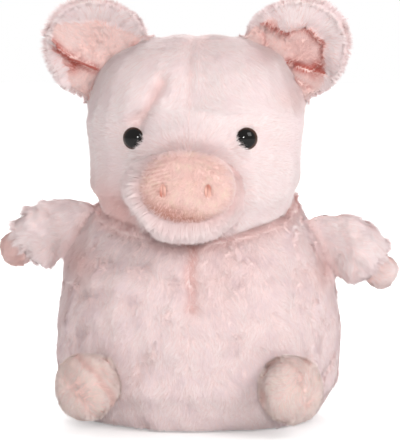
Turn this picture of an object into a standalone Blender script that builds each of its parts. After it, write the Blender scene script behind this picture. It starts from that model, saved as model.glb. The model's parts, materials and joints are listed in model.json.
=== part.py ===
"""A sitting plush pig, built from its cut panels, stuffing, eyes and limbs.

Metres, +Z up. The pig faces -Y and its own left is +X. The origin is the middle of the flat base.
Each sewn cover is a closed shell of pile and backing, and the stuffing that fills it is a piece of its own.
"""

import math

import bmesh
import bpy
from mathutils import Matrix, Vector

# Clearances, how far the body's facets lie inside its curve, the pile's thickness, and the distance under
# which two points are one
MERGE = 0.00001
SEAM_GAP = 0.0003
FILL_GAP = 0.0005
NECK_GAP = 0.0006
FACET_SAG = 0.0008
COVER = 0.006
LIMB_COVER = 0.004

# Head: a rounded box that swells at the cheeks
HEAD_CENTRE_Z = 0.160
HEAD_CENTRE_Y = -0.004
HEAD_HALF_WIDTH = 0.0592
HEAD_FRONT = 0.053
HEAD_BACK = 0.052
HEAD_UP = 0.0495
HEAD_DOWN = 0.0455

# Body: a pear that is cut flat where it sits
BODY_CENTRE_Z = 0.044
BODY_HALF_WIDTH = 0.0776
BODY_FRONT = 0.067
BODY_BACK = 0.064
BODY_UP = 0.090
BODY_DOWN = 0.046

# Neck: a ball of stuffing that both forms sit on
NECK_Z = 0.117
NECK_Y = 0.002
NECK_RADIUS = 0.032
NECK_TILT = math.radians(17)
NECK_CREASE = math.radians(8)

# Muzzle and nose
MUZZLE_Z = 0.1265
MUZZLE_HALF_WIDTH = 0.0315
MUZZLE_HALF_HEIGHT = 0.0245
MUZZLE_ROOT = 0.012
MUZZLE_LENGTH = 0.0225
NOSE_HALF_WIDTH = 0.0248
NOSE_HALF_HEIGHT = 0.0180
NOSE_THICKNESS = 0.0055
NOSE_Z = 0.1295
NOSTRIL_X = 0.0114
NOSTRIL_HALF_WIDTH = 0.0017
NOSTRIL_HALF_HEIGHT = 0.0038
NOSTRIL_DEPTH = 0.0016

# Safety eyes
EYE_X = 0.0298
EYE_Z = 0.1545
EYE_WIDTH = 0.0120
EYE_EDGE = 0.0008
EYE_RISE = 0.0042
EYE_SUNK = 0.0016
SHANK_RADIUS = 0.0020
SHANK_LENGTH = 0.0125
WASHER_RADIUS = 0.0065
WASHER_THICKNESS = 0.0016

# Ears
EAR_ROOT_FROM = math.radians(13)
EAR_ROOT_TO = math.radians(62)
EAR_HALF_WIDTH = 0.0275
EAR_REACH = 0.0350
EAR_LIFT = 0.0080
EAR_CUP = 0.0160
EAR_ROOT_THICKNESS = 0.0028
EAR_THICKNESS = 0.0070
EAR_LINING = 0.0028
EAR_GAP = 0.0009
EAR_SWEEP = math.radians(104)

# Arms and trotters
ARM_ROOT_TOP_Z = 0.1145
ARM_ROOT_FOOT_Z = 0.0785
ARM_ROOT_Y = -0.006
ARM_ROOT_RADIUS = 0.0036
ARM_LENGTH = 0.0280
ARM_DROOP = 0.0085
ARM_HALF_HEIGHT = 0.0185
ARM_HALF_DEPTH = 0.0150
ARM_OFFSET_LEFT = -0.0035
ARM_OFFSET_RIGHT = 0.0035
CUFF_RADIUS = 0.0105
TROTTER_LENGTH = 0.0140

# Feet
FOOT_AZIMUTH = math.radians(39)
FOOT_Z = 0.0270
FOOT_ROOT_RADIUS = 0.0060
FOOT_HALF_WIDTH = 0.0185
FOOT_HALF_HEIGHT = 0.0185
FOOT_LENGTH = 0.0215

# Seat filling and tail
BAG_TOP_Z = 0.036
TAIL_Z = 0.050
TAIL_RADIUS = 0.0038
TAIL_CURL_RADIUS = 0.0075
TAIL_LENGTH = 0.0175
TAIL_TURNS = 1.15

# Counts
LATITUDES = 9
LONGITUDES = 24
LIMB_SIDES = 18
NECK_SIDES = 32
EYE_SIDES = 16
DOME_STEPS = 6
CAP_STEPS = 4
TAIL_STEPS = 20
TAIL_SIDES = 10

# Shapes, as exponents: 2 is an ellipse, and more is squarer
HEAD_POWERS = (2.5, 5.0, 2.4)
BODY_POWERS = (2.3, 3.5, 2.1)
OVAL_POWER = 2.2

# Where a form's panels stop short of its poles, and the angle from which an edge is sharp
BELOW_LATITUDE = -math.radians(88)
BODY_TOP_LATITUDE = math.radians(84)
SHARP_ANGLE = math.radians(50)

# Shares of the muzzle's length and width, from its root in the head to its flat front
MUZZLE_SHARES = ((0.0, 1.0), (0.4, 1.02), (0.65, 1.0), (0.82, 0.94), (0.94, 0.84), (1.0, 0.72))
# Shares of the nose's thickness and width, from its flat back to its front
NOSE_SHARES = ((0.0, 0.93), (0.25, 1.0), (0.6, 0.97), (0.85, 0.84), (0.96, 0.66), (1.0, 0.4))
# Shares of a nostril's depth and width, from the back of its stitches to their crown
NOSTRIL_SHARES = ((0.0, 0.9), (0.55, 1.0), (0.85, 0.8), (1.0, 0.45))
# Shares of the ear: where it has its full thickness, where its rim starts, how thick the rim ends,
# how much it is cupped in the middle, and how far the back and the lining reach
EAR_FULL_SHARE = 0.40
EAR_RIM_SHARE = 0.72
EAR_RIM_END_SHARE = 0.36
EAR_CUP_SHARE = 0.2
EAR_BACK_SHARE = 0.97
LINING_SPAN_SHARE = 0.84
LINING_FROM_SHARE = 0.15
LINING_TO_SHARE = 0.86
# How much of the arm's height its root has
ARM_ROOT_SHARE = 0.96
# Shares of the arm's length, height and depth, from the shoulder seam to the cuff
ARM_SHARES = (
    (0.14, 1.02, 0.46),
    (0.34, 1.04, 0.76),
    (0.56, 1.02, 0.98),
    (0.76, 0.93, 1.0),
    (0.92, 0.74, 0.86),
    (1.0, 0.58, 0.72),
)
# Shares of the trotter's length and width, from the cuff to its rounded tip
TROTTER_SHARES = ((0.0, 0.94), (0.2, 1.0), (0.5, 1.0), (0.75, 0.88), (0.92, 0.62), (1.0, 0.3))
# Shares of the foot's length and width, from its middle to its rounded sole. Those below 0 are of its root radius
FOOT_SHARES = (
    (-1.0, 0.11),
    (-0.86, 0.28),
    (-0.58, 0.50),
    (-0.16, 0.73),
    (0.16, 0.93),
    (0.42, 1.0),
    (0.63, 0.94),
    (0.82, 0.75),
    (0.95, 0.48),
    (1.0, 0.22),
)
# How much thinner the tail's tip is, and after how much of its length it has its full curl
TAIL_TAPER_SHARE = 0.35
TAIL_GROW_SHARE = 0.50

SIDES = ((1, "left"), (-1, "right"))


class Form:
    """A swelling closed form: an ellipsoid with its own reach each way and squarer or rounder sections.

    lean_up and lean_down are the slopes, rising to the back, that its top and bottom ends take.
    """

    def __init__(self, centre, half_width, front, back, up, down, powers, lean_up=0, lean_down=0):
        self.centre = Vector(centre)
        self.half_width = half_width
        self.front = front
        self.back = back
        self.up = up
        self.down = down
        self.power_up, self.power_down, self.power_round = powers
        self.lean_up = lean_up
        self.lean_down = lean_down

    def inside(self, inset):
        """The same form, smaller by inset on every side."""
        powers = (self.power_up, self.power_down, self.power_round)
        sizes = (self.half_width, self.front, self.back, self.up, self.down)
        return Form(self.centre, *(size - inset for size in sizes), powers, self.lean_up, self.lean_down)

    def point(self, latitude, longitude):
        """The surface point at two angles. Longitude 0 is the pig's left, and -90 degrees is its front."""
        power = self.power_up if latitude > 0 else self.power_down
        rise = self.up if latitude > 0 else self.down
        flat = bend(math.cos(latitude), power)
        depth = self.front if math.sin(longitude) < 0 else self.back
        x = self.half_width * flat * bend(math.cos(longitude), self.power_round)
        y = depth * flat * bend(math.sin(longitude), self.power_round)
        share = bend(math.sin(latitude), power)
        lean = self.lean_up if latitude > 0 else self.lean_down
        return self.centre + Vector((x, y, rise * share + lean * y * share * share))

    def latitude_of(self, z):
        """The latitude at which the surface has this height."""
        rise = self.up if z > self.centre.z else self.down
        power = self.power_up if z > self.centre.z else self.power_down
        share = (z - self.centre.z) / rise
        return math.asin(math.copysign(abs(share) ** (power / 2), share))

    def section(self, z):
        """The level section at height z, as its half width, front and back."""
        power = self.power_up if z > self.centre.z else self.power_down
        rise = self.up if z > self.centre.z else self.down
        share = max(0, 1 - abs((z - self.centre.z) / rise) ** power) ** (1 / power)
        return self.half_width * share, self.front * share, self.back * share

    def front_y(self, x, z):
        """How far forward the front of the form lies at this x and z."""
        half_width, front, _ = self.section(z)
        share = 1 - abs((x - self.centre.x) / half_width) ** self.power_round
        return self.centre.y - front * share ** (1 / self.power_round)

    def back_y(self, x, z):
        """How far back the back of the form lies at this x and z."""
        half_width, _, back = self.section(z)
        share = 1 - abs((x - self.centre.x) / half_width) ** self.power_round
        return self.centre.y + back * share ** (1 / self.power_round)


def bend(value, power):
    """A cosine or a sine drawn out towards a square."""
    return math.copysign(abs(value) ** (2 / power), value)


def eased(share):
    """A share that starts and ends slowly."""
    return share * share * (3 - 2 * share)


def mirrored(side, vector):
    """A point of the left side, or its twin on the right side."""
    return Vector((side * vector[0], vector[1], vector[2]))


def material(name, colour, roughness):
    made = bpy.data.materials.new(name)
    made.use_nodes = True
    shader = made.node_tree.nodes["Principled BSDF"]
    shader.inputs["Base Color"].default_value = (*colour, 1)
    shader.inputs["Roughness"].default_value = roughness
    shader.inputs["Metallic"].default_value = 0
    made.diffuse_color = (*colour, 1)
    return made


def clean(mesh):
    """Joins points that coincide, faces every face outward and shades the mesh smooth between its sharp edges."""
    work = bmesh.new()
    work.from_mesh(mesh)
    bmesh.ops.remove_doubles(work, verts=work.verts, dist=MERGE)
    bmesh.ops.dissolve_degenerate(work, edges=work.edges, dist=MERGE)
    bmesh.ops.recalc_face_normals(work, faces=work.faces)
    work.to_mesh(mesh)
    work.free()
    mesh.shade_smooth()
    mesh.set_sharp_from_angle(angle=SHARP_ANGLE)


def piece(name, made_of, verts, faces, origin=(0, 0, 0)):
    """One named object from points and faces in world space, with its own origin."""
    origin = Vector(origin)
    mesh = bpy.data.meshes.new(name)
    mesh.from_pydata([Vector(v) - origin for v in verts], [], faces)
    clean(mesh)
    made = bpy.data.objects.new(name, mesh)
    made.location = origin
    made.data.materials.append(made_of)
    bpy.context.scene.collection.objects.link(made)
    return made


def loft(rings, close_start=True, close_end=True, folded=False):
    """Points and faces of a skin stretched over rings that have the same number of points.

    A folded ring runs out along one side and back along the other, and its ends are closed pair by pair.
    """
    count = len(rings[0])
    verts = [point for ring in rings for point in ring]
    faces = []
    for row in range(len(rings) - 1):
        for i in range(count):
            after = (i + 1) % count
            low, high = row * count, (row + 1) * count
            faces.append((low + i, low + after, high + after, high + i))
    last = (len(rings) - 1) * count
    if close_start:
        faces.extend(end_faces(0, count, folded, True))
    if close_end:
        faces.extend(end_faces(last, count, folded, False))
    return verts, faces


def end_faces(first, count, folded, turned_over):
    """The faces that close one end of a loft, whose ring starts at the point numbered first."""
    if folded:
        pairs = range(count // 2 - 1)
        ends = [(first + i, first + i + 1, first + count - 2 - i, first + count - 1 - i) for i in pairs]
    else:
        ends = [tuple(range(first, first + count))]
    return [tuple(reversed(end)) for end in ends] if turned_over else ends


def spread(start, end, count):
    """Evenly spread values, with both ends."""
    return [start + (end - start) * i / (count - 1) for i in range(count)]


def turned(profile, sides, place):
    """A turned solid: (radius, height) points round local Z, moved by place, with its ends on the axis."""
    rings = []
    for radius, height in profile:
        angles = (2 * math.pi * i / sides for i in range(sides))
        rings.append([place @ Vector((radius * math.cos(a), radius * math.sin(a), height)) for a in angles])
    return loft(rings, close_start=False, close_end=False)


def placed(position, direction):
    """The matrix that takes local Z to direction and the local origin to position."""
    turn = Vector(direction).to_track_quat("Z", "Y").to_matrix().to_4x4()
    return Matrix.Translation(position) @ turn


def cutter(name, verts, faces):
    made = piece(name, CUTTER_LOOK, verts, faces)
    made.hide_render = True
    made.display_type = "WIRE"
    return made


def cut(made, *tools):
    for tool in tools:
        modifier = made.modifiers.new(f"less {tool.name}", "BOOLEAN")
        modifier.operation = "DIFFERENCE"
        modifier.solver = "EXACT"
        modifier.object = tool


def shell_panel(outer, inner, latitudes, longitudes, shift):
    """A panel of a sewn cover: a strip of its outer and inner surfaces between two seams."""
    rings = []
    for latitude in latitudes:
        out = [outer.point(latitude, angle) + shift for angle in longitudes]
        back = [inner.point(latitude, angle) + shift for angle in reversed(longitudes)]
        rings.append(out + back)
    return rings


def solid_form(form, latitudes, sides):
    """A closed form, whose ends are flat where the latitudes stop short of the poles."""
    longitudes = [2 * math.pi * i / sides for i in range(sides)]
    return loft([[form.point(latitude, angle) for angle in longitudes] for latitude in latitudes])


for old in list(bpy.data.objects):
    bpy.data.objects.remove(old)

CUTTER_LOOK = material("cutter", (0.5, 0.5, 0.5), 1.0)
LONG_PILE = material("long pile", (0.84, 0.69, 0.67), 0.95)
SHORT_PILE = material("short pile", (0.79, 0.61, 0.60), 0.95)
NOSE_PILE = material("nose pile", (0.80, 0.55, 0.50), 0.9)
LINING_PILE = material("lining pile", (0.80, 0.56, 0.52), 0.9)
THREAD = material("embroidery thread", (0.63, 0.33, 0.27), 0.6)
EYE_PLASTIC = material("eye plastic", (0.01, 0.008, 0.008), 0.08)
WASHER_PLASTIC = material("washer plastic", (0.75, 0.75, 0.73), 0.45)
FIBRE = material("polyester fibre", (0.86, 0.86, 0.85), 1.0)
BAG_CLOTH = material("pellet bag cloth", (0.80, 0.78, 0.73), 0.9)

HEAD = Form(
    (0, HEAD_CENTRE_Y, HEAD_CENTRE_Z),
    HEAD_HALF_WIDTH,
    HEAD_FRONT,
    HEAD_BACK,
    HEAD_UP,
    HEAD_DOWN,
    HEAD_POWERS,
    lean_down=math.tan(NECK_TILT),
)
BODY = Form(
    (0, 0, BODY_CENTRE_Z),
    BODY_HALF_WIDTH,
    BODY_FRONT,
    BODY_BACK,
    BODY_UP,
    BODY_DOWN,
    BODY_POWERS,
    lean_up=math.tan(NECK_TILT),
)

NECK = Vector((0, NECK_Y, NECK_Z))
NECK_AXIS = Vector((0, -math.sin(NECK_TILT), math.cos(NECK_TILT)))


def neck_cutter(name, upward):
    """What the form on the other side of the neck crease loses, with the ball of stuffing."""
    reach = HEAD_HALF_WIDTH + BODY_HALF_WIDTH
    ball = NECK_RADIUS + NECK_GAP
    slope = NECK_CREASE / 2
    profile = [(0, -reach), (reach, -reach), (reach, reach * math.tan(slope))]
    for angle in spread(slope, math.pi / 2, NECK_SIDES // 4 + 1):
        profile.append((ball * math.cos(angle), ball * math.sin(angle)))
    return cutter(name, *turned(profile, NECK_SIDES, placed(NECK, NECK_AXIS * upward)))


BELOW_HEAD = neck_cutter("cut below head", 1)
ABOVE_BODY = neck_cutter("cut above body", -1)


def neck_stuffing():
    angles = spread(-math.pi / 2, math.pi / 2, NECK_SIDES // 2 + 1)
    profile = [(NECK_RADIUS * math.cos(angle), NECK_RADIUS * math.sin(angle)) for angle in angles]
    piece("neck_stuffing", FIBRE, *turned(profile, NECK_SIDES, placed(NECK, NECK_AXIS)), origin=NECK)


def eye_place(side):
    """Where an eye sits on the head, looking out along the surface's own direction."""
    y = HEAD.front_y(EYE_X, EYE_Z)
    radius = EYE_WIDTH / 2
    across = HEAD.front_y(EYE_X + radius, EYE_Z) - HEAD.front_y(EYE_X - radius, EYE_Z)
    up = HEAD.front_y(EYE_X, EYE_Z + radius) - HEAD.front_y(EYE_X, EYE_Z - radius)
    look = Vector((across, -EYE_WIDTH, up)).normalized()
    seat = Vector((EYE_X, y, EYE_Z)) - look * EYE_SUNK
    return placed(mirrored(side, seat), mirrored(side, look))


def eye_profile(clearance):
    """A domed button with a shank, grown by clearance."""
    radius = EYE_WIDTH / 2 + clearance
    shank = SHANK_RADIUS + clearance
    profile = [(0, -SHANK_LENGTH - clearance), (shank, -SHANK_LENGTH - clearance), (shank, -clearance)]
    profile.append((radius, -clearance))
    for angle in spread(0, math.pi / 2, DOME_STEPS):
        rise = EYE_EDGE + (EYE_RISE - EYE_EDGE + clearance) * math.sin(angle)
        profile.append((radius * math.cos(angle), rise))
    return profile


def washer_profile():
    """A flat washer behind the cover, from its bore out and back."""
    top = -COVER - EYE_SUNK - SEAM_GAP
    low = top - WASHER_THICKNESS
    bore = SHANK_RADIUS + SEAM_GAP
    return [(bore, low), (WASHER_RADIUS, low), (WASHER_RADIUS, top), (bore, top), (bore, low)]


def eye(side, name):
    place = eye_place(side)
    piece(f"eye_{name}", EYE_PLASTIC, *turned(eye_profile(0), EYE_SIDES, place), origin=place.translation)
    washer = turned(washer_profile(), EYE_SIDES, place)
    piece(f"eye_washer_{name}", WASHER_PLASTIC, *washer, origin=place.translation)
    hole = cutter(f"cut eye {name}", *turned(eye_profile(SEAM_GAP), EYE_SIDES, place))
    low = washer_profile()[0][1] - SEAM_GAP
    pocket = [(0, low), (WASHER_RADIUS + SEAM_GAP, low), (WASHER_RADIUS + SEAM_GAP, 0), (0, 0)]
    room = cutter(f"cut washer {name}", *turned(pocket, EYE_SIDES, place))
    return hole, room


def head():
    inner = HEAD.inside(COVER)
    core = HEAD.inside(COVER + FILL_GAP)
    latitudes = spread(BELOW_LATITUDE, 0, LATITUDES // 2 + 1)[:-1] + spread(0, math.pi / 2, LATITUDES)
    rooms, holes = [], []
    for side, name in SIDES:
        shift = mirrored(side, (SEAM_GAP / 2, 0, 0))
        longitudes = spread(-math.pi / 2, side * math.pi - math.pi / 2, LONGITUDES // 2 + 1)
        rings = shell_panel(HEAD, inner, latitudes, longitudes, shift)
        skin = loft(rings, close_end=False, folded=True)
        panel = piece(f"head_panel_{name}", LONG_PILE, *skin, origin=NECK)
        hole, room = eye(side, name)
        cut(panel, BELOW_HEAD, hole)
        rooms.append(room)
        holes.append(hole)
    stuffing = piece("head_stuffing", FIBRE, *solid_form(core, latitudes, LONGITUDES), origin=NECK)
    cut(stuffing, BELOW_HEAD, *rooms, *holes)


def oval_ring(centre, half_width, half_height, power, sides):
    """An upright oval ring that faces the front."""
    ring = []
    for i in range(sides):
        angle = 2 * math.pi * i / sides
        x = half_width * bend(math.cos(angle), power)
        z = half_height * bend(math.sin(angle), power)
        ring.append(Vector(centre) + Vector((x, 0, z)))
    return ring


def muzzle_rings(inset):
    """Rings of the muzzle from its root to its front, which lies inset deep."""
    root_y = HEAD.front_y(0, MUZZLE_Z) + MUZZLE_ROOT
    length = MUZZLE_ROOT + MUZZLE_LENGTH - inset
    rings = []
    for along_share, width_share in MUZZLE_SHARES:
        centre = (0, root_y - length * along_share, MUZZLE_Z)
        width = MUZZLE_HALF_WIDTH * width_share - inset
        height = MUZZLE_HALF_HEIGHT * width_share - inset
        rings.append(oval_ring(centre, width, height, OVAL_POWER, LIMB_SIDES))
    return rings


def muzzle():
    clear = HEAD.inside(-SEAM_GAP)
    full = spread(-math.pi / 2, math.pi / 2, 2 * LATITUDES + 1)
    head_room = cutter("cut head", *solid_form(clear, full, 2 * LONGITUDES))
    outer, inner, core = muzzle_rings(0), muzzle_rings(LIMB_COVER), muzzle_rings(LIMB_COVER + FILL_GAP)
    cover = piece("muzzle_panel", LONG_PILE, *loft(list(reversed(inner)) + outer), origin=NECK)
    cut(cover, head_room, BELOW_HEAD)
    filling = piece("muzzle_stuffing", FIBRE, *loft(core), origin=NECK)
    cut(filling, head_room, BELOW_HEAD)


def nose():
    back_y = HEAD.front_y(0, MUZZLE_Z) - MUZZLE_LENGTH - SEAM_GAP
    rings = []
    for along_share, width_share in NOSE_SHARES:
        centre = (0, back_y - NOSE_THICKNESS * along_share, NOSE_Z)
        width, height = NOSE_HALF_WIDTH * width_share, NOSE_HALF_HEIGHT * width_share
        rings.append(oval_ring(centre, width, height, OVAL_POWER, LIMB_SIDES))
    pad = piece("nose_pad", NOSE_PILE, *loft(rings), origin=NECK)
    front_y = back_y - NOSE_THICKNESS + NOSTRIL_DEPTH / 2
    for side, name in SIDES:
        seat = Vector((side * NOSTRIL_X, front_y, NOSE_Z))
        stitched = nostril_rings(seat, 0)
        piece(f"nostril_stitching_{name}", THREAD, *loft(stitched), origin=NECK)
        cut(pad, cutter(f"cut nostril {name}", *loft(nostril_rings(seat, SEAM_GAP))))


def nostril_rings(seat, clearance):
    rings = []
    for along_share, width_share in NOSTRIL_SHARES:
        y = clearance - (NOSTRIL_DEPTH + 2 * clearance) * along_share
        width = NOSTRIL_HALF_WIDTH * width_share + clearance
        height = NOSTRIL_HALF_HEIGHT * width_share + clearance
        rings.append(oval_ring(seat + Vector((0, y, 0)), width, height, 2, LIMB_SIDES // 2))
    return rings


def ear_root(angle):
    """A point of the head's outline, seen from the front, at an angle up from its middle."""
    across = (math.cos(angle) / HEAD_HALF_WIDTH) ** HEAD.power_up
    upward = (math.sin(angle) / HEAD_UP) ** HEAD.power_up
    reach = (across + upward) ** (-1 / HEAD.power_up)
    return Vector((reach * math.cos(angle), 0, reach * math.sin(angle))) + HEAD.centre


def ear_frame():
    """The ear's middle, and its directions along the root and outward, on the left side."""
    low, high = ear_root(EAR_ROOT_FROM), ear_root(EAR_ROOT_TO)
    along = (high - low).normalized()
    outward = Vector((-along.z, 0, along.x))
    outward = -outward if outward.x < 0 else outward
    return (low + high) / 2, along, outward


def ear_hinge():
    """A point on the line that the ear folds about: just clear of the head's highest point under the ear."""
    middle, _, outward = ear_frame()
    angles = spread(EAR_ROOT_FROM, EAR_ROOT_TO, 4 * LATITUDES)
    crown = max((ear_root(angle) - middle).dot(outward) for angle in angles)
    return middle + outward * (crown + EAR_ROOT_THICKNESS / 2 + EAR_GAP + SEAM_GAP)


def ear_point(across, up):
    """The middle of the ear's front face. across is -1 to 1 along the root, and up is 0 to 1, root to rim."""
    middle, along, outward = ear_frame()
    share = (across + 1) / 2
    root = ear_root(EAR_ROOT_FROM + (EAR_ROOT_TO - EAR_ROOT_FROM) * share)
    root += (root - HEAD.centre).normalized() * EAR_GAP
    sweep = EAR_SWEEP * across
    centre = middle + outward * EAR_LIFT
    rim = centre + outward * EAR_REACH * math.cos(sweep) + along * EAR_HALF_WIDTH * math.sin(sweep)
    point = root.lerp(rim, up)
    height_share = min(max((point - middle).dot(outward) / (EAR_LIFT + EAR_REACH), 0), 1)
    cup_share = EAR_CUP_SHARE + (1 - EAR_CUP_SHARE) * across * across
    point.y -= EAR_CUP * eased(height_share) * cup_share
    return point


def ear_thickness(up):
    """Thin where it is sewn in, full over the middle and rounded off at the rim."""
    full = min(1, up / EAR_FULL_SHARE)
    rim = max(0, (up - EAR_RIM_SHARE) / (1 - EAR_RIM_SHARE))
    rounded = math.sqrt(1 - (1 - EAR_RIM_END_SHARE**2) * rim * rim)
    return EAR_ROOT_THICKNESS * (1 - full) + EAR_THICKNESS * full * rounded


def ear_layer(low, high, span, front, back):
    """A slab that follows the ear between two heights. front and back give its faces' y at each height."""
    rings = []
    for up in spread(low, high, LATITUDES):
        row = [ear_point(across, up) for across in spread(-span, span, LONGITUDES // 2)]
        ahead = [p + Vector((0, front(up), 0)) for p in row]
        behind = [p + Vector((0, back(up), 0)) for p in reversed(row)]
        rings.append(ahead + behind)
    return rings


def ear(side, name):
    def half_root(up):
        return -EAR_ROOT_THICKNESS / 2

    def back_face(up):
        return ear_thickness(up) - EAR_ROOT_THICKNESS / 2

    def lining_back(up):
        return half_root(up) - FILL_GAP

    def lining_front(up):
        return lining_back(up) - EAR_LINING

    hinge = mirrored(side, ear_hinge())
    lined = LINING_FROM_SHARE, LINING_TO_SHARE, LINING_SPAN_SHARE
    layers = (
        ("ear_back", LONG_PILE, ear_layer(0, 1, EAR_BACK_SHARE, half_root, back_face)),
        ("ear_lining", LINING_PILE, ear_layer(*lined, lining_front, lining_back)),
    )
    for part, look, rings in layers:
        rings = [[mirrored(side, p) for p in ring] for ring in rings]
        piece(f"{part}_{name}", look, *loft(rings, folded=True), origin=hinge)


def limb_ring(top, foot, half_depth, sides):
    """An oval ring between a top and a foot point, with the given half depth front to back."""
    middle, half = (top + foot) / 2, (top - foot) / 2
    ring = []
    for i in range(sides):
        angle = 2 * math.pi * i / sides
        ring.append(middle + half * math.sin(angle) + Vector((0, -half_depth * math.cos(angle), 0)))
    return ring


def arm_frame(offset):
    """The shoulder seam's middle, just clear of the body's side, its direction up and the way out."""
    levels = spread(ARM_ROOT_FOOT_Z + offset, ARM_ROOT_TOP_Z + offset, 2 * LATITUDES)
    skin = [Vector((BODY.section(z)[0], ARM_ROOT_Y, z)) for z in levels]
    up = (skin[-1] - skin[0]).normalized()
    outward = Vector((up.z, 0, -up.x))
    middle = (skin[0] + skin[-1]) / 2
    reach = max((point - middle).dot(outward) for point in skin)
    return middle + outward * (reach - FACET_SAG + ARM_ROOT_RADIUS + SEAM_GAP), up, outward


def arm_middle(along_share):
    """The way from the shoulder seam to a point of the arm's middle line, which droops towards the cuff."""
    return Vector((ARM_LENGTH * along_share, 0, -ARM_DROOP * along_share * along_share))


def arm_end():
    """The way the arm points at its cuff, and the direction up across the cuff."""
    point = (arm_middle(1) - arm_middle(ARM_SHARES[-2][0])).normalized()
    return point, Vector((-point.z, 0, point.x))


def arm_rings(offset, inset, skip_root=0):
    seam, up, outward = arm_frame(offset)
    _, across = arm_end()
    rings = []
    for angle in spread(-math.pi / 2, 0, CAP_STEPS)[skip_root:]:
        middle = seam + outward * ARM_ROOT_RADIUS * math.sin(angle)
        half = up * (ARM_HALF_HEIGHT * ARM_ROOT_SHARE + ARM_ROOT_RADIUS * (math.cos(angle) - 1) - inset)
        depth = max(ARM_ROOT_RADIUS * math.cos(angle), SEAM_GAP) - inset
        rings.append(limb_ring(middle + half, middle - half, depth, LIMB_SIDES))
    for along_share, height_share, depth_share in ARM_SHARES[max(skip_root - CAP_STEPS, 0) :]:
        tilt = up.lerp(across, along_share).normalized()
        middle = seam + arm_middle(along_share)
        height = ARM_HALF_HEIGHT * height_share - inset
        depth = ARM_HALF_DEPTH * depth_share - inset
        rings.append(limb_ring(middle + tilt * height, middle - tilt * height, depth, LIMB_SIDES))
    return rings


def arm(side, name, offset):
    hinge = mirrored(side, arm_frame(offset)[0])
    outer, inner = arm_rings(offset, 0), arm_rings(offset, LIMB_COVER, CAP_STEPS)
    core = arm_rings(offset, LIMB_COVER + FILL_GAP, CAP_STEPS + 1)
    cuff_middle = sum(outer[-1], Vector()) / len(outer[-1])
    point, across = arm_end()
    rings = []
    for along_share, width_share in TROTTER_SHARES:
        middle = cuff_middle + point * (SEAM_GAP + TROTTER_LENGTH * along_share)
        half = across * CUFF_RADIUS * width_share
        rings.append(limb_ring(middle + half, middle - half, CUFF_RADIUS * width_share, LIMB_SIDES))
    pieces = (
        ("arm_sleeve", LONG_PILE, loft(outer + list(reversed(inner)))),
        ("arm_stuffing", FIBRE, loft(core)),
        ("trotter", SHORT_PILE, loft(rings)),
    )
    for part, look, (verts, faces) in pieces:
        verts = [mirrored(side, v) for v in verts]
        piece(f"{part}_{name}", look, verts, faces, origin=hinge)


def body():
    inner, core = BODY.inside(COVER), BODY.inside(COVER + FILL_GAP)
    floor = BODY.latitude_of(0)
    latitudes = spread(floor, 0, LATITUDES // 2 + 1)[:-1] + spread(0, BODY_TOP_LATITUDE, LATITUDES)
    for side, name in SIDES:
        for facing, half in ((-1, "front"), (1, "back")):
            shift = Vector((side, facing, 0)) * SEAM_GAP / 2
            turns = spread(0, facing * math.pi / 2, LONGITUDES // 4 + 1)
            longitudes = turns if side > 0 else [math.pi - turn for turn in turns]
            rings = shell_panel(BODY, inner, latitudes, longitudes, shift)
            panel = piece(f"body_{half}_{name}", SHORT_PILE, *loft(rings, folded=True))
            cut(panel, ABOVE_BODY)
    around = [2 * math.pi * i / LONGITUDES for i in range(LONGITUDES)]
    top_z = inner.point(floor, 0).z
    rings = []
    for form, z in ((BODY.inside(SEAM_GAP), 0), (core, top_z)):
        rim = [form.point(floor, angle) for angle in around]
        rings.append([Vector((point.x, point.y, z)) for point in rim])
    piece("body_base", SHORT_PILE, *loft(rings))
    bag = spread(core.latitude_of(top_z + SEAM_GAP), core.latitude_of(BAG_TOP_Z), LATITUDES // 2)
    piece("pellet_bag", BAG_CLOTH, *solid_form(core, bag, LONGITUDES))
    filled = [core.latitude_of(BAG_TOP_Z + SEAM_GAP)]
    filled += [latitude for latitude in latitudes if latitude > core.latitude_of(BAG_TOP_Z + COVER)]
    stuffing = piece("body_stuffing", FIBRE, *solid_form(core, filled, LONGITUDES))
    cut(stuffing, ABOVE_BODY)


def foot_skin(z):
    """The body's surface at height z, in the direction in which the left foot points."""
    half_width, front, _ = BODY.section(z)
    point = Vector((math.sin(FOOT_AZIMUTH), -math.cos(FOOT_AZIMUTH), 0))
    across = (point.x / half_width) ** BODY.power_round
    ahead = (-point.y / front) ** BODY.power_round
    skin = point * (across + ahead) ** (-1 / BODY.power_round)
    return Vector((skin.x, skin.y, z)), point


def foot_frame():
    """The middle of the left foot's root, which it flexes about, the way out of the body and the foot's own."""
    skin, point = foot_skin(FOOT_Z)
    rise = foot_skin(FOOT_Z + FOOT_ROOT_RADIUS)[0] - foot_skin(FOOT_Z - FOOT_ROOT_RADIUS)[0]
    across = Vector((-point.y, point.x, 0))
    out = across.cross(rise).normalized()
    return skin + out * (FOOT_ROOT_RADIUS + SEAM_GAP - FACET_SAG / 2), out, point


def foot_rings(inset):
    hinge, out, point = foot_frame()
    across = Vector((-point.y, point.x, 0))
    rings = []
    for along_share, width_share in FOOT_SHARES:
        axis = out.lerp(point, min(max(2 * along_share, 0), 1)).normalized()
        upward = axis.cross(across)
        reach = FOOT_LENGTH - inset if along_share > 0 else FOOT_ROOT_RADIUS
        middle = hinge + axis * reach * along_share
        width = FOOT_HALF_WIDTH * width_share - inset
        height = FOOT_HALF_HEIGHT * width_share - inset
        ring = []
        for i in range(LIMB_SIDES):
            angle = 2 * math.pi * i / LIMB_SIDES
            ring.append(middle + across * width * math.cos(angle) + upward * height * math.sin(angle))
        rings.append(ring)
    return rings


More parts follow.
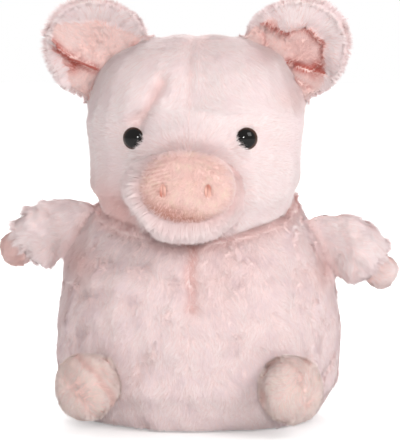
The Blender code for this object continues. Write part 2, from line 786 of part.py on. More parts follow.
def foot(side, name):
    hinge, _, _ = foot_frame()
    outer = foot_rings(0)
    inner = foot_rings(LIMB_COVER)[2:-1]
    core = foot_rings(LIMB_COVER + FILL_GAP)[3:-1]
    pieces = (
        ("foot_cover", SHORT_PILE, loft(list(reversed(inner)) + outer)),
        ("foot_stuffing", FIBRE, loft(core)),
    )
    for part, look, (verts, faces) in pieces:
        verts = [mirrored(side, v) for v in verts]
        piece(f"{part}_{name}", look, verts, faces, origin=mirrored(side, hinge))


def tail_hinge():
    return Vector((0, BODY.back_y(0, TAIL_Z) + TAIL_RADIUS + SEAM_GAP, TAIL_Z))


def tail_point(share):
    """The middle of the tail: it leaves the body straight and winds up into a curl."""
    angle = 2 * math.pi * TAIL_TURNS * share
    radius = TAIL_CURL_RADIUS * min(1, eased(share) / TAIL_GROW_SHARE)
    turn = Vector((radius * math.sin(angle), 0, radius * (1 - math.cos(angle))))
    return tail_hinge() + turn + Vector((0, TAIL_LENGTH * share, 0))


def tail():
    rings = []
    for angle in spread(-math.pi / 2, 0, CAP_STEPS)[:-1]:
        rings.append(tail_ring(0, TAIL_RADIUS * math.sin(angle), math.cos(angle)))
    for share in spread(0, 1, TAIL_STEPS):
        rings.append(tail_ring(share, 0, 1 - TAIL_TAPER_SHARE * share))
    for angle in spread(0, math.pi / 2, CAP_STEPS)[1:]:
        taper = 1 - TAIL_TAPER_SHARE
        rings.append(tail_ring(1, TAIL_RADIUS * taper * math.sin(angle), taper * math.cos(angle)))
    piece("tail", SHORT_PILE, *loft(rings, False, False), origin=tail_hinge())


def tail_ring(share, ahead, width_share):
    """A round section of the tail, square to its middle line, ahead of the point at share."""
    middle = tail_point(share)
    before, after = tail_point(share - 1 / TAIL_STEPS), tail_point(min(share + 1 / TAIL_STEPS, 1))
    along = (after - before).normalized() if share > 0 else Vector((0, 1, 0))
    sideways = along.cross(Vector((0, 0, 1))).normalized()
    upward = sideways.cross(along)
    ring = []
    for i in range(TAIL_SIDES):
        angle = 2 * math.pi * i / TAIL_SIDES
        radius = TAIL_RADIUS * width_share
        spoke = sideways * math.cos(angle) + upward * math.sin(angle)
        ring.append(middle + along * ahead + spoke * radius)
    return ring


def finish_cuts():
    """Turns each cut piece's modifiers into its mesh, so that the new edges are marked sharp too."""
    graph = bpy.context.evaluated_depsgraph_get()
    for made in bpy.context.scene.objects:
        if made.modifiers:
            mesh = bpy.data.meshes.new_from_object(made.evaluated_get(graph))
            made.modifiers.clear()
            made.data = mesh
            clean(mesh)


def main():
    neck_stuffing()
    head()
    muzzle()
    nose()
    body()
    tail()
    for side, name in SIDES:
        ear(side, name)
        foot(side, name)
    for (side, name), offset in zip(SIDES, (ARM_OFFSET_LEFT, ARM_OFFSET_RIGHT)):
        arm(side, name, offset)
    finish_cuts()


main()
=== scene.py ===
# %% [markdown]
# # A sitting plush pig in long pale pink pile
# The toy is sewn from plush, a knitted backing with fibres standing on it, and stuffed tight like a bag.
# So each part is made in two steps. First comes a smooth skin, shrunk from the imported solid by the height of
# the pile. Then come the fibres, as thousands of thin strands that are rooted on that skin.

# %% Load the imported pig
import json
import math

import bmesh
import bpy
import numpy as np
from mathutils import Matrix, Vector, kdtree
from mathutils.bvhtree import BVHTree


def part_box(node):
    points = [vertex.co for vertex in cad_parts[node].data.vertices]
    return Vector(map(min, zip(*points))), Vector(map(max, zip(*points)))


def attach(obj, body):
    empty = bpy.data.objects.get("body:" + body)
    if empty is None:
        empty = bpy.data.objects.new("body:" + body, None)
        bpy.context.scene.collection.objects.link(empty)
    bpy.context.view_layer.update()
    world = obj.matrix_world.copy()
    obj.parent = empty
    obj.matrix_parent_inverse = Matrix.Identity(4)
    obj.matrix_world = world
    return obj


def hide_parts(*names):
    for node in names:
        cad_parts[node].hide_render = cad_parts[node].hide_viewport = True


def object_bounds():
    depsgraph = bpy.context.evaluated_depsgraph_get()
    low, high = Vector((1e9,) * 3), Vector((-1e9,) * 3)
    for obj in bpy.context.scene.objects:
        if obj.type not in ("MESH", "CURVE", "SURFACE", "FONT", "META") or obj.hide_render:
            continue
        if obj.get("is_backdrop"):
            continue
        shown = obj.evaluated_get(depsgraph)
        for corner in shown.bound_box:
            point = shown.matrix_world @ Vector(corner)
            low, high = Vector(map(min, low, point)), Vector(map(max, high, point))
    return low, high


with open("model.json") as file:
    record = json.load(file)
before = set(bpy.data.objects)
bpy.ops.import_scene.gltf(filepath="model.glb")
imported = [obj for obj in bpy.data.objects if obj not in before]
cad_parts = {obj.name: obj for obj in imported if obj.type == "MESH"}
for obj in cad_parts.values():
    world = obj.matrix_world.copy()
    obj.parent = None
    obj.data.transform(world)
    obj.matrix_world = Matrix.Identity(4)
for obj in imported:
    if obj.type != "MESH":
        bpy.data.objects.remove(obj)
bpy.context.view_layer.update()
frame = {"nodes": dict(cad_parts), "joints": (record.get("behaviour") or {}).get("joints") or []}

MM = 0.001

# %% [markdown]
# ## Colours and nodes
# Colours are picked as sRGB hex values, as on a colour card, but Blender's sockets want linear light. One
# function turns the one into the other, and one more adds a shader node with its settings and links.


# %% Colour and node helpers
def linear(code):
    """An sRGB hex colour as linear red, green, blue and alpha."""
    parts = [int(code[i : i + 2], 16) / 255 for i in (0, 2, 4)]
    return (*[v / 12.92 if v <= 0.04045 else ((v + 0.055) / 1.055) ** 2.4 for v in parts], 1.0)


def add_node(tree, kind, inputs=None, **settings):
    """Adds a shader node. inputs holds values, or sockets to link from, by its inputs' names or numbers."""
    node = tree.nodes.new("ShaderNode" + kind)
    for name, value in settings.items():
        setattr(node, name, value)
    for name, value in (inputs or {}).items():
        if isinstance(value, bpy.types.NodeSocket):
            tree.links.new(value, node.inputs[name])
        else:
            node.inputs[name].default_value = value
    return node


def new_material(name, roughness, specular, sheen=0.0):
    """A material with its Principled shader. What is the same all over is set on the shader itself."""
    made = bpy.data.materials.new(name)
    made.use_nodes = True
    shader = made.node_tree.nodes["Principled BSDF"]
    shader.inputs["Roughness"].default_value = roughness
    shader.inputs["Specular IOR Level"].default_value = specular
    shader.inputs["Sheen Weight"].default_value = sheen
    shader.inputs["Sheen Roughness"].default_value = 0.5
    return made, made.node_tree, shader


# %% [markdown]
# ## Pile materials
# Plush is polyester fibre, drawn, crimped and dyed in the bulk. A fibre is matt to satin, and the light that
# gets into the pile comes out warmer, so a strand is a deeper pink at its root than at its tip. Dye and comb
# marks change the tone by the tuft, which a soft noise gives, and each strand has its own small shift. In
# seams, creases and hollows and where a part lies in shade, a strand's painted shade attribute mixes in a
# deeper pink: painted shade, with the warmer light that comes out of the pile there.


# %% Pile material
def pile(name, root, tip, patch, painted_shade, patch_mm):
    """Fibres from the root colour to the tip colour, with patches of a third and painted shade of a fourth."""
    made, tree, shader = new_material(name, 0.85, 0.15, 0.2)
    up = add_node(tree, "Attribute", attribute_name="tip")
    own = add_node(tree, "Attribute", attribute_name="tone")
    painted_shade_share = add_node(tree, "Attribute", attribute_name="painted_shade")
    where = add_node(tree, "TexCoord")
    size = {"Vector": where.outputs["Object"], "Scale": 1 / (patch_mm * MM), "Detail": 2.0}
    tuft = add_node(tree, "TexNoise", size)
    limits = {"Value": tuft.outputs["Fac"], "From Min": 0.42, "From Max": 0.68}
    share = add_node(tree, "MapRange", limits)
    limits = {"Value": up.outputs["Fac"], "From Min": 0.0, "From Max": 0.7}
    height = add_node(tree, "MapRange", limits)
    colour = linear(root)
    shares = (height.outputs["Result"], share.outputs["Result"], painted_shade_share.outputs["Fac"])
    for factor, over in zip(shares, (tip, patch, painted_shade)):
        mix = add_node(tree, "Mix", {"Factor": factor, "A": colour, "B": linear(over)}, data_type="RGBA")
        colour = mix.outputs["Result"]
    limits = {"Value": own.outputs["Fac"], "To Min": 0.96, "To Max": 1.03}
    shift = add_node(tree, "MapRange", limits)
    dyed = {"Color": colour, "Value": shift.outputs["Result"]}
    toned = add_node(tree, "HueSaturation", dyed)
    tree.links.new(toned.outputs["Color"], shader.inputs["Base Color"])
    return made


# The fourth colour of each pile is its painted shade, the deeper pink that seams, creases, hollows and shaded
# places get.
# Long pile plush, combed. The pale tips lie side by side, so it looks nearly white.
LONG_PILE = pile("combed_long_pile_plush", "f4dcda", "fcf1f0", "f9e8e8", "e2a69d", 12)
# Short pile plush, tumbled after shearing. Its tufts point every way, which mottles the pink.
SHORT_PILE = pile("short_pile_plush", "f2d9d7", "fbedec", "f3e0e1", "e9ab9f", 9)
# The same plush sheared closer for the feet, so that more of the warm roots show, a little more tan, and
# painted darker for the shade the feet lie in.
FOOT_PILE_WITH_PAINTED_SHADE = pile("foot_pile_plush_painted_shade", "e6ccc6", "eeddd8", "ecdad2", "dba79e", 6)
# Velour, sheared and brushed. It is dense and a shade browner, the brush leaves fine marks, and its deeper
# colour is painted shade.
NOSE_PILE = pile("brushed_velour_nose", "e8c0b7", "f3d6cf", "f2dacb", "c58b7c", 5)
# Velour in peach, sheared and left unbrushed. Its creases in the ears are painted a deep pink: painted shade
# and the warmer light that comes out of the folds.
LINING_PILE = pile("velour_ear_lining", "ebccc7", "f6e1dd", "f2d8d3", "cd7469", 8)
# Short pile plush, brushed flat for the trotters, so that it is pale and even.
TROTTER_PILE = pile("trotter_pile_plush", "efd7d4", "f9ebe9", "f4e1de", "dba79e", 6)


# %% Knitted backing, under the strands
LOOP_MM = 0.9  # about twice a real loop, because a finer one doesn't show


def backing(name, colour):
    """The polyester knit under the pile, matt and a little rough, with its loops as a bump."""
    made, tree, shader = new_material(name, 0.95, 0.1)
    where = add_node(tree, "TexCoord")
    size = {"Vector": where.outputs["Object"], "Scale": 1 / (LOOP_MM * MM), "Detail": 1.0}
    loops = add_node(tree, "TexNoise", size)
    limits = {"Value": loops.outputs["Fac"], "To Min": 0.93, "To Max": 1.07}
    light = add_node(tree, "MapRange", limits)
    dyed = {"Color": linear(colour), "Value": light.outputs["Result"]}
    tone = add_node(tree, "HueSaturation", dyed)
    tree.links.new(tone.outputs["Color"], shader.inputs["Base Color"])
    rise = {"Height": loops.outputs["Fac"], "Strength": 0.5, "Distance": 0.5 * MM}
    bump = add_node(tree, "Bump", rise)
    tree.links.new(bump.outputs["Normal"], shader.inputs["Normal"])
    return made


LONG_BACKING = backing("knitted_backing_pink", "f6dfdc")
PEACH_BACKING = backing("knitted_backing_peach", "f2cfc8")


# %% [markdown]
# ## Skins
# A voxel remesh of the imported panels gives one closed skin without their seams. It is relaxed to lose the
# grid's steps, and drawn in by the height of the pile, so that the fibres' tips end where the solid ends.
# Where two parts meet, the skin stays out, because there the backings themselves are sewn together.


# %% Skin helpers
def corners(quads):
    """The triangles of a mesh of quads."""
    return np.concatenate([quads[:, [0, 1, 2]], quads[:, [0, 2, 3]]])


def normals_of(points, quads):
    """Unit vertex normals of a mesh of quads."""
    a, b, c, d = (points[quads[:, i]] for i in range(4))
    face = np.cross(c - a, d - b)
    out = np.zeros_like(points)
    for i in range(4):
        np.add.at(out, quads[:, i], face)
    return out / np.maximum(np.linalg.norm(out, axis=1, keepdims=True), 1e-12)


def relaxed(points, quads, rounds, strength=0.5):
    """Moves each point towards the middle of its neighbours, then a little back, which keeps the volume."""
    pairs = np.concatenate([quads[:, [i, (i + 1) % 4]] for i in range(4)])
    pairs = np.concatenate([pairs, pairs[:, ::-1]])
    count = np.bincount(pairs[:, 0], minlength=len(points))[:, None]
    for step in range(2 * rounds):
        sums = [np.bincount(pairs[:, 0], points[pairs[:, 1], k], len(points)) for k in range(3)]
        mean = np.stack(sums, 1) / count
        points = points + (mean - points) * (strength if step % 2 == 0 else -0.9 * strength)
    return points


def merged(names):
    """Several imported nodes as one."""
    work = bmesh.new()
    for name in names:
        work.from_mesh(frame["nodes"][name].data)
    return work


def hull(names, voxel_mm, rounds=6):
    """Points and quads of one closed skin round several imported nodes."""
    work = merged(names)
    mesh = bpy.data.meshes.new("hull")
    work.to_mesh(mesh)
    work.free()
    made = bpy.data.objects.new("hull", mesh)
    bpy.context.scene.collection.objects.link(made)
    remesh = made.modifiers.new("skin", "REMESH")
    remesh.mode = "VOXEL"
    remesh.voxel_size = voxel_mm * MM
    graph = bpy.context.evaluated_depsgraph_get()
    skin = bpy.data.meshes.new_from_object(made.evaluated_get(graph))
    points = np.zeros(len(skin.vertices) * 3)
    skin.vertices.foreach_get("co", points)
    points = points.reshape(-1, 3)
    faces = [[*face.vertices] for face in skin.polygons]
    quads = np.array([(face + face[2:3])[:4] for face in faces])
    bpy.data.objects.remove(made)
    bpy.data.meshes.remove(skin)
    outer = largest(len(points), quads)
    order = np.cumsum(outer) - 1
    quads = order[quads[outer[quads[:, 0]]]]
    return relaxed(points[outer], quads, rounds), quads


def largest(count, quads):
    """Which points belong to the largest connected part. The remesh also skins the hollow inside."""
    label = np.arange(count)
    while True:
        least = label[quads].min(1)
        fresh = label.copy()
        for i in range(4):
            np.minimum.at(fresh, quads[:, i], least)
        fresh = fresh[fresh]
        if (fresh == label).all():
            return label == np.bincount(label).argmax()
        label = fresh


def drawn_in(points, quads, depth_mm):
    """The skin moved inward by depth, a number or one for each point."""
    depth = np.broadcast_to(np.asarray(depth_mm, float), (len(points),))[:, None] * MM
    return points - normals_of(points, quads) * depth


def new_piece(name, points, faces, look, body):
    """One piece of the visual model that rides on a body."""
    mesh = bpy.data.meshes.new(name)
    mesh.from_pydata(np.asarray(points, float), [], faces)
    mesh.update()
    mesh.shade_smooth()
    mesh.materials.append(look)
    made = bpy.data.objects.new(name, mesh)
    bpy.context.scene.collection.objects.link(made)
    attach(made, body)
    return made


def new_skin(name, points, quads, look, body, nodes):
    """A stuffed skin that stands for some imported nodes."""
    made = new_piece(name, points, quads, look, body)
    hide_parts(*nodes)
    print(f"{name}: {len(quads)} quads")


# %% [markdown]
# ## Shaping
# Stuffing, seams and pinches give the skin lumps, dents and folds. Each is a small move of the skin's points
# that fades out with distance. Places are in mm as seen from the front: x to the pig's left and z up.


# %% Shaping helpers
def unit(vectors):
    """Each vector made 1 long."""
    return vectors / np.maximum(np.linalg.norm(vectors, axis=1, keepdims=True), 1e-9)


def ramp(values, low, high):
    """0 below low, 1 above high and smooth between."""
    share = np.clip((values - low) / (high - low), 0, 1)
    return share * share * (3 - 2 * share)


def waves(points, size_mm, seed, count=14):
    """A smooth random vector field, made of plane waves about this long."""
    rng = np.random.default_rng(seed)
    out = np.zeros_like(points)
    for _ in range(count):
        heading = rng.normal(size=3)
        heading /= np.linalg.norm(heading)
        turn = 2 * math.pi / (size_mm * MM) * rng.uniform(0.6, 1.5)
        out += np.outer(np.sin(points @ heading * turn + rng.uniform(0, 2 * math.pi)), rng.normal(size=3))
    return out / math.sqrt(count / 2)


def beside(points, path):
    """How far points lie from a line of (x, z) places in mm, seen from the front, and on which side of it."""
    flat = points[:, [0, 2]] / MM
    best, side = np.full(len(points), 1e9), np.zeros(len(points))
    for start, end in zip(path, path[1:]):
        start, along = np.array(start, float), np.array(end, float) - np.array(start, float)
        share = np.clip((flat - start) @ along / (along @ along), 0, 1)
        off = flat - (start + share[:, None] * along)
        away = np.linalg.norm(off, axis=1)
        turn = np.sign(along[0] * off[:, 1] - along[1] * off[:, 0])
        side = np.where(away < best, turn, side)
        best = np.minimum(away, best)
    return best, side


def near(points, path, width_mm):
    """1 on a line of (x, z) places and fading to 0 beside it."""
    return np.exp(-((beside(points, path)[0] / width_mm) ** 2))


def inside(points, outline):
    """Which points lie within a closed line of (x, z) places in mm, seen from the front."""
    flat = points[:, [0, 2]] / MM
    found = np.zeros(len(points), bool)
    for (x, z), (next_x, next_z) in zip(outline, outline[1:] + outline[:1]):
        level = (z > flat[:, 1]) != (next_z > flat[:, 1])
        found ^= level & (flat[:, 0] < (next_x - x) * (flat[:, 1] - z) / (next_z - z + 1e-9) + x)
    return found


def spot(points, x, z, radius_mm):
    """1 at an (x, z) place and fading to 0 round it."""
    return np.exp(-(((points[:, 0] / MM - x) ** 2 + (points[:, 2] / MM - z) ** 2) / radius_mm**2))


def pinched(points, quads, path, depth_mm, width_mm):
    """Draws the front of a skin in along a line, where a seam or a pinch holds it."""
    normals = normals_of(points, quads)
    ahead = ramp(-normals[:, 1], -0.1, 0.35)
    return points - normals * (near(points, path, width_mm) * ahead * depth_mm * MM)[:, None]


def folded(points, path, rise_mm, drop_mm, width_mm):
    """A fold in a flap: one side of a line comes forward over the other, which drops behind it."""
    away, side = beside(points, path)
    fade = np.exp(-away / width_mm) * MM
    points = points.copy()
    points[:, 1] += np.where(side > 0, -rise_mm, drop_mm) * fade
    return points


# %% Seam helpers
def to_seam(points, names, reach_mm):
    """How near the other side of a seam is, from 0 at the reach to 1 on it, and the way there."""
    work = merged(names)
    tree = BVHTree.FromBMesh(work)
    work.free()
    close, way = np.zeros(len(points)), np.zeros_like(points)
    for i, point in enumerate(points):
        found, _, _, away = tree.find_nearest(Vector(point), reach_mm * MM)
        if found is not None:
            close[i], way[i] = 1 - away / (reach_mm * MM), found - Vector(point)
    return ramp(close, 0.0, 0.6), way


def drawn_to(points, quads, names, reach_mm, share):
    """A skin that is drawn over to the other side of a seam by a share of what is between them."""
    close, way = to_seam(points, names, reach_mm)
    return relaxed(points + way * close[:, None] * share, quads, 1)


def combed_to(comb, roots, names, reach_mm):
    """The way the pile lies, turned towards a seam where it is near, and how near it is."""
    close, way = to_seam(roots, names, reach_mm)
    return comb + (unit(way) - comb) * close[:, None], close


# %% [markdown]
# ## Strands
# A real pile has hundreds of fibres to the square millimetre, far too many to draw, and finer than a pixel.
# Each strand here stands for some fibres that cling together. It is a flat tapered ribbon in two steps that
# starts upright and bends the way the pile is combed, and its tip leans towards the middle of its lock.
# The ribbons lie with their flat sides along the skin, so together they take the light as one soft surface.
# Next to a seam the pile of each side leans over to the other and hides it, as it does on sewn plush.


# %% Strand helpers
STEPS = 2
FIBRE_MM, VELOUR_FIBRE_MM, TUFT_FIBRE_MM = 0.18, 0.17, 0.19


def rooted(points, quads, per_mm2, seed, keep=None):
    """Places for roots spread evenly over a skin, with its normals there. keep says which to use."""
    rng = np.random.default_rng(seed)
    tris = corners(quads)
    smooth = normals_of(points, quads)
    a, b, c = (points[tris[:, i]] for i in range(3))
    area = np.linalg.norm(np.cross(b - a, c - a), axis=1) / 2
    count = int(area.sum() / MM**2 * per_mm2)
    chosen = rng.choice(len(tris), count, p=area / area.sum())
    u, v = rng.random(count), rng.random(count)
    over = u + v > 1
    u[over], v[over] = 1 - u[over], 1 - v[over]
    shares = np.stack([1 - u - v, u, v], 1)
    roots = sum(shares[:, [i]] * points[tris[chosen, i]] for i in range(3))
    normals = unit(sum(shares[:, [i]] * smooth[tris[chosen, i]] for i in range(3)))
    if keep is not None:
        kept = rng.random(count) < keep(roots, normals)
        roots, normals = roots[kept], normals[kept]
    return roots, normals


def wedges(roots, count):
    """The roots in upright wedges with as many in each, because one mesh of them all would be too large."""
    return np.array_split(np.argsort(np.arctan2(roots[:, 0], roots[:, 1])), count)


def ribbon_faces(count):
    """The triangles of tapered ribbons, each with two rows of points and a tip."""
    one = []
    for i in range(STEPS - 1):
        one += [(i, STEPS + i, STEPS + i + 1), (i, STEPS + i + 1, i + 1)]
    one.append((STEPS - 1, 2 * STEPS - 1, 2 * STEPS))
    return (np.arange(count)[:, None, None] * (2 * STEPS + 1) + np.array(one)[None]).reshape(-1, 3)


def strands(name, roots, normals, comb, length_mm, width_mm, look, body, seed, lean=3.2, clump=0.2,
            lock=24, wild=0.15, painted_shade=0.0, loose=0.1):
    """A piece of fur. comb is the way the pile lies and lean how far it bends over. lock is how many strands
    close up into one by clump, wild how much they stray, painted_shade how much painted shade they get
    and loose how many stand."""
    rng = np.random.default_rng(seed)
    count = len(roots)
    flow = comb - normals * (comb * normals).sum(1, keepdims=True)
    flow = unit(flow) + wild * waves(roots, 16, seed + 1) + 0.6 * wild * waves(roots, 5, seed + 2)
    flow = flow + 0.3 * wild * rng.normal(size=flow.shape)
    flow = flow - normals * (flow * normals).sum(1, keepdims=True)
    stands = rng.random(count) < loose
    length = np.broadcast_to(length_mm, (count,)) * MM * rng.uniform(0.72, 1.1, count)
    length = (length * np.where(stands, 0.75, 1))[:, None]
    lean = np.broadcast_to(lean, (count,)) * rng.uniform(0.75, 1.35, count)
    lean = (lean * np.where(stands, 0.25, 1))[:, None]
    start = unit(normals + lean * flow)
    end = unit(normals * 0.25 + lean * flow)
    share = np.linspace(0, 1, STEPS + 1) ** 0.85
    lines = [roots + length * (start * (s - s * s / 2) + end * s * s / 2) for s in share]
    lines = np.stack(lines, 1)
    heads = rng.choice(count, max(count // lock, 1), replace=False)
    tree = kdtree.KDTree(len(heads))
    for i, head in enumerate(heads):
        tree.insert(roots[head], i)
    tree.balance()
    own = heads[[tree.find(root)[1] for root in roots]]
    pull = clump * rng.uniform(0.4, 1.1, count)[:, None] * share[None, :] ** 1.4
    lines = lines + (lines[own] - lines) * pull[:, :, None]
    across = unit(np.cross(end, normals) + 0.1 * rng.normal(size=end.shape))
    half = 0.5 * MM * np.broadcast_to(width_mm, (count,)) * rng.uniform(0.7, 1.25, count)
    taper = np.linspace(1, 0.25, STEPS + 1)[:-1]
    side = across[:, None, :] * (half[:, None] * taper[None, :])[:, :, None]
    verts = np.concatenate([lines[:, :-1] - side, lines[:, :-1] + side, lines[:, -1:]], 1)
    piece = new_piece(name, verts.reshape(-1, 3), ribbon_faces(count), look, body)
    each = 2 * STEPS + 1
    painted_shade_share = np.broadcast_to(painted_shade, (count,)).repeat(each)
    tips = np.tile([*share[:-1], *share[:-1], 1.0], count)
    for label, values in (("tip", tips), ("tone", rng.random(count).repeat(each)), ("painted_shade", painted_shade_share)):
        layer = piece.data.attributes.new(label, "FLOAT", "POINT")
        layer.data.foreach_set("value", values.astype(np.float32))
    print(f"{name}: {count} strands")


# %% [markdown]
# ## Where things are
# The eyes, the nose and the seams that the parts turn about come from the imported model, so the dressed pig
# stays on its solids.


# %% Places
def joint_of(name):
    """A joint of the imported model."""
    return next(joint for joint in frame["joints"] if joint["name"] == name)


SIDES = (("left", 1), ("right", -1))
DOWN = np.array([0, 0, -1.0])
AHEAD = np.array([0, -1.0, 0])
FRONT_VIEW = np.array([1.0, 0.0, 1.0])
NECK_UP = np.round(joint_of("neck_turn")["axis"], 4)
HEAD_PANELS = ["head_panel_left", "head_panel_right"]
BODY_PANELS = ["body_front_left", "body_front_right", "body_back_left", "body_back_right"]
EARS = ["ear_back_left", "ear_back_right", "ear_lining_left", "ear_lining_right"]
ARMS = ["arm_sleeve_left", "arm_sleeve_right"]
FEET = ["foot_cover_left", "foot_cover_right"]
eyes = []
for side in ("left", "right"):
    low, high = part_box(f"eye_{side}")
    eyes.append(np.array([(low.x + high.x) / 2, low.y + 3 * MM, (low.z + high.z) / 2]))
low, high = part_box("nose_pad")
NOSE = np.array([0, low.y, (low.z + high.z) / 2])
print("eyes in mm:", [np.round(eye / MM, 1) for eye in eyes], "nose:", np.round(NOSE / MM, 1))

# %% [markdown]
# ## Head
# The head is two long pile panels sewn down the middle of the face. The seam draws the skin in and parts the
# pile over the forehead, and the pile is combed away from the nose and down the cheeks. The washers of the
# safety eyes pull them into the stuffing, which leaves soft sockets, and a pinch runs up from the right one.

# %% Head skin
PINCH = [(-27, 163), (-21.5, 168), (-14, 185)]
# Hollows over and under the eyes and in the right cheek: x, z, radius and depth in mm.
HOLLOWS = [(-25, 162, 7, 1.6), (25, 163, 7, 0.8), (-31, 141, 8, 1.8), (33, 141, 9, 0.8), (-33, 114, 13, 8.5)]
points, quads = hull([*HEAD_PANELS, "head_stuffing"], 2.0)
normals = normals_of(points, quads)
below = ramp(-(normals @ NECK_UP), 0.5, 0.85) * ramp(-points[:, 2], -0.135, -0.120)
from_eyes = [np.linalg.norm(points - eye, axis=1) for eye in eyes]
at_eye = np.max([np.exp(-((away / (8 * MM)) ** 4)) for away in from_eyes], axis=0)
depth = 1.7 - 1.3 * below - 0.4 * at_eye
points = drawn_in(points, quads, depth)
points = points + normals_of(points, quads) * waves(points, 38, 7)[:, :1] * 0.7 * MM
over = ramp(points[:, 2], 0.162, 0.180) + ramp(points[:, 1], 0.0, 0.02)
seam = np.exp(-((points[:, 0] / (3.2 * MM)) ** 2)) * np.clip(over, 0, 1)
points = points - normals_of(points, quads) * seam[:, None] * 1.2 * MM
points = pinched(points, quads, PINCH, 2.6, 3.4)
for x, z, radius, sink in HOLLOWS:
    ahead = ramp(-points[:, 1], 0.01, 0.03)
    points[:, 1] += spot(points, x, z, radius) * ahead * sink * MM

# %% Bulge round the muzzle
ring = np.hypot(points[:, 0] / (33 * MM), (points[:, 2] - 0.128) / (26 * MM))
side_share = 0.55 + 0.45 * ramp(points[:, 0] / MM + 0.8 * (points[:, 2] / MM - 128), -25, 15)
bulge = np.exp(-(((ring - 1.0) / 0.3) ** 2)) * ramp(-points[:, 1], 0.02, 0.04) * side_share
points[:, 1] -= bulge * 5.5 * MM
points = drawn_to(points, quads, BODY_PANELS, 16, 0.5)
points = drawn_to(points, quads, EARS, 9, 0.4)
new_skin("head_skin", points, quads, LONG_BACKING, "head",
         [*HEAD_PANELS, "head_stuffing"])


# %% Head fur
def to_eye(roots):
    """How far the nearest eye is in mm."""
    return np.min([np.linalg.norm(roots - eye, axis=1) for eye in eyes], axis=0) / MM


def head_comb(p):
    """Away from the nose on the face, outward and down over the crown, and down at the back."""
    away = unit((p - NOSE) * np.array([1.0, 0.2, 1.0]))
    sign = np.tanh(p[:, 0] / (9 * MM))
    crown = ramp(p[:, 2], 0.158, 0.185)[:, None]
    outward = np.stack([sign * 0.75, 0.25 + 0 * sign, -0.75 + 0 * sign], 1)
    back = ramp(p[:, 1], -0.01, 0.02)[:, None]
    flow = away * (1 - crown) + outward * crown
    return flow * (1 - back) + (outward * 0.4 + DOWN) * back + 0.4 * DOWN


def under_eye(roots, eye):
    """How far a root lies towards the nose and down from an eye, where long pile comes over the rim."""
    toward = unit(np.array([[-np.sign(eye[0]) * 0.8, 0, -0.6]]))[0]
    return unit(roots - eye) @ toward * (np.linalg.norm(roots - eye, axis=1) < 11 * MM)


roots, normals = rooted(points, quads, 5.0, 11, lambda p, n: to_eye(p) > 5.8)
from_eye = to_eye(roots)
inner_low = np.max([under_eye(roots, eye) for eye in eyes], axis=0)
length = 2.2 + 2.8 * ramp(from_eye, 5, 14) + 3.4 * ramp(inner_low, 0.35, 0.85)
flow, chin = combed_to(head_comb(roots), roots, BODY_PANELS, 9)
flow, at_ear = combed_to(flow, roots, EARS, 7)
length = length + 2.8 * chin + 3.0 * at_ear
lean = 4.6 + 3.4 * ramp(roots[:, 2], 0.155, 0.18) - 3.2 * chin - 3.0 * ramp(inner_low, 0.35, 0.85)
on_face = roots[:, 1] < -0.02
# Painted shade: a deeper pink along the pinch, in the crease under the chin, in the hollow of the right cheek
# beside the muzzle, in two spots by the left ear and where the pile parts on the crown.
painted_shade = 0.38 * near(roots, PINCH, 3.5) * on_face + 0.5 * chin
for painted_shade_weight, *place in ((0.25, 52, 176, 8), (0.2, 36, 200, 7), (0.5, -33, 115, 12)):
    painted_shade = painted_shade + painted_shade_weight * spot(roots, *place)
painted_shade = painted_shade + 0.35 * spot(roots, -47, 122, 13) * on_face
parting = np.exp(-((roots[:, 0] / (1.5 * MM)) ** 2))
painted_shade = np.clip(painted_shade + 0.15 * parting * (roots[:, 2] > 0.172), 0, 1)
for number, part in enumerate(wedges(roots, 5), 1):
    strands(f"head_fur_{number}", roots[part], normals[part], flow[part], length[part], FIBRE_MM,
            LONG_PILE, "head", 110 + number, lean=lean[part], painted_shade=painted_shade[part], loose=0.14)

# %% [markdown]
# ## Muzzle and nose
# The muzzle is a ring of long pile that fringes out and down. Its front stays out against the back of the
# nose pad, so no gap shows from the side. The pad is a short brushed velour, swollen by its stuffing, and the
# fibres of both cross the seam between them, so its edge looks soft.

# %% Muzzle
points, quads = hull(["muzzle_panel", "muzzle_stuffing"], 1.6)
at_pad = ramp(-normals_of(points, quads)[:, 1], 0.7, 0.95)
points = drawn_in(points, quads, 1.8 - 2.6 * at_pad)
ahead = ramp(-points[:, 1], 0.048, 0.062)
low_right = spot(points, -28, 112, 12) * ahead
points += np.outer(low_right, [6 * MM, 0, 2 * MM])
points[:, 0] += (-0.05 * np.maximum(points[:, 0], 0) - 2.6 * MM) * ahead
points[:, 2] -= ramp(points[:, 2], 0.130, 0.150) * 1.6 * MM * ahead
new_skin("muzzle_skin", points, quads, LONG_BACKING, "head",
         ["muzzle_panel", "muzzle_stuffing"])
PAD_MIDDLE = np.array([0.3, 0, 131.0]) * MM
PAD_HALF_WIDTH, PAD_HALF_HEIGHT = 24.7 * MM, 18.3 * MM


def from_nose(p):
    """How far out a point is from the middle of the nose pad, where 1 is the pad's own edge."""
    return np.hypot((p[:, 0] - PAD_MIDDLE[0]) / PAD_HALF_WIDTH, (p[:, 2] - PAD_MIDDLE[2]) / PAD_HALF_HEIGHT)


roots, normals = rooted(points, quads, 6.0, 21, lambda p, n: from_nose(p) > 0.97)
around = unit((roots - NOSE) * FRONT_VIEW)
fringe = ramp(-(around[:, 2] + 0.9 * around[:, 0]), -0.35, 0.55)
flow = around + np.array([0, 0.6, 0]) + 0.45 * DOWN
# Painted shade: a deeper pink on the muzzle's pile next to the nose pad, away from the fringe.
painted_shade_share = 0.12 + 0.3 * (1 - fringe) * np.exp(-(((from_nose(roots) - 1) / 0.18) ** 2))
strands("muzzle_fur", roots, normals, flow, 4.0 + 4.2 * fringe, FIBRE_MM, LONG_PILE, "head",
        22, lean=3.2 - 1.6 * fringe, clump=0.3, lock=30, painted_shade=painted_shade_share)

